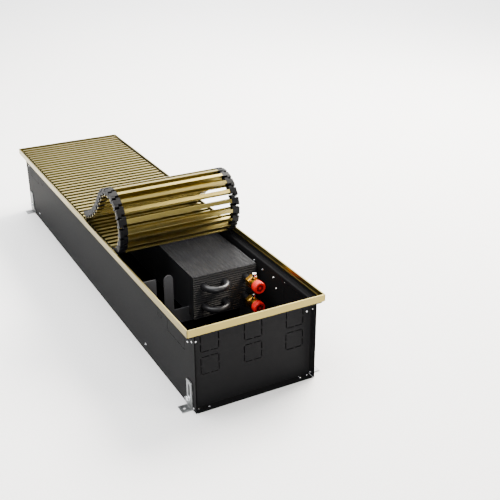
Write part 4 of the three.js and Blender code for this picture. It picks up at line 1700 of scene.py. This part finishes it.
@dataclass
class Studio:
    """Camera, soft lights and a white floor."""

    camera_at: tuple = (1.8925498, -0.7009039, 1.0159049)
    right: tuple = (0.47419009, 0.88042071, -0.0017704)
    up: tuple = (-0.3734673, 0.20296774, 0.90516644)
    back: tuple = (0.79728661, -0.42855977, 0.42505363)
    lens: float = 60.42
    sensor: float = 36.0
    sky_far: float = 0.32
    sky_near: float = 0.8
    floor_reach: float = 30000.0
    floor_z: float = -0.4
    lamps: tuple[Lamp, ...] = (
        Lamp("key", (-0.7, 2.2, 2.6), (2.0, 1.4), 420, 0xFFF8EE),
        Lamp("overhead", (-0.2, -0.8, 2.9), (3.0, 2.4), 190),
        Lamp("kicker", (2.4, 1.6, 2.5), (0.5, 0.5), 30, 0xFFF6E4),
        Lamp("rim", (-3.3, 1.8, 1.8), (2.6, 1.0), 14, 0xFFFAF0),
        Lamp("front", (3.0, -0.9, 0.9), (1.2, 0.8), 55),
        Lamp("backdrop", (-4.2, 3.0, 3.4), (5.0, 5.0), 700, aim=(-4.2, 3.0, 0.0)),
    )

    def build(self) -> None:
        """Sets up the view."""
        self.camera()
        self.floor()
        for lamp in self.lamps:
            self.light(lamp)
        self.sky()

    def sky(self) -> None:
        """Surrounds the heater with white that fades towards its connection end."""
        world = bpy.data.worlds.new("Studio")
        world.use_nodes = True
        tree = world.node_tree
        tree.nodes.clear()
        direction = add_node(tree, "ShaderNodeTexCoord").outputs["Generated"]
        along = add_node(tree, "ShaderNodeSeparateXYZ", {0: direction}).outputs["X"]
        fade = {"From Min": -1.0, "To Min": self.sky_far, "To Max": self.sky_near}
        glow = add_node(tree, "ShaderNodeMapRange", {0: along, **fade})
        white = add_node(tree, "ShaderNodeBackground", {"Color": (1, 1, 1, 1), "Strength": glow.outputs[0]})
        add_node(tree, "ShaderNodeOutputWorld", {"Surface": white.outputs[0]})
        bpy.context.scene.world = world

    def camera(self) -> None:
        """Puts the camera where the photograph was seen from."""
        data = bpy.data.cameras.new("Camera")
        data.lens, data.sensor_width, data.clip_start = self.lens, self.sensor, 0.05
        camera = bpy.data.objects.new("Camera", data)
        axes = Matrix((self.right, self.up, self.back)).transposed().to_4x4()
        camera.matrix_world = Matrix.Translation(self.camera_at) @ axes
        bpy.context.scene.collection.objects.link(camera)
        bpy.context.scene.camera = camera

    def floor(self) -> None:
        """Lays the floor, which isn't part of the object."""
        bm = bmesh.new()
        reach = self.floor_reach
        corners = box_outline(-reach, reach, -reach, reach)
        bm.faces.new([bm.verts.new((x, y, self.floor_z)) for x, y in corners])
        new_object("floor", bm, STUDIO_FLOOR)

    def light(self, lamp: Lamp) -> None:
        """Hangs one soft light.

        Args:
            lamp: The light.
        """
        data = bpy.data.lights.new(lamp.name, "AREA")
        data.shape, data.energy = "RECTANGLE", lamp.power
        data.size, data.size_y = lamp.size
        data.color = linear(lamp.colour)[:3]
        hung = bpy.data.objects.new(lamp.name, data)
        hung.location = lamp.at
        hung.rotation_euler = (Vector(lamp.aim) - Vector(lamp.at)).to_track_quat("-Z", "Y").to_euler()
        bpy.context.scene.collection.objects.link(hung)


def main() -> None:
    """Builds every piece of the heater and the studio round it."""
    logging.basicConfig(level=logging.INFO, format="%(message)s")
    for assembly in (Casing(), TrimFrame(), Grille(), Exchanger(), Valves(), Feet(), Fasteners(), Studio()):
        log.info("building %s", type(assembly).__name__)
        assembly.build()


if __name__ == "__main__":
    main()
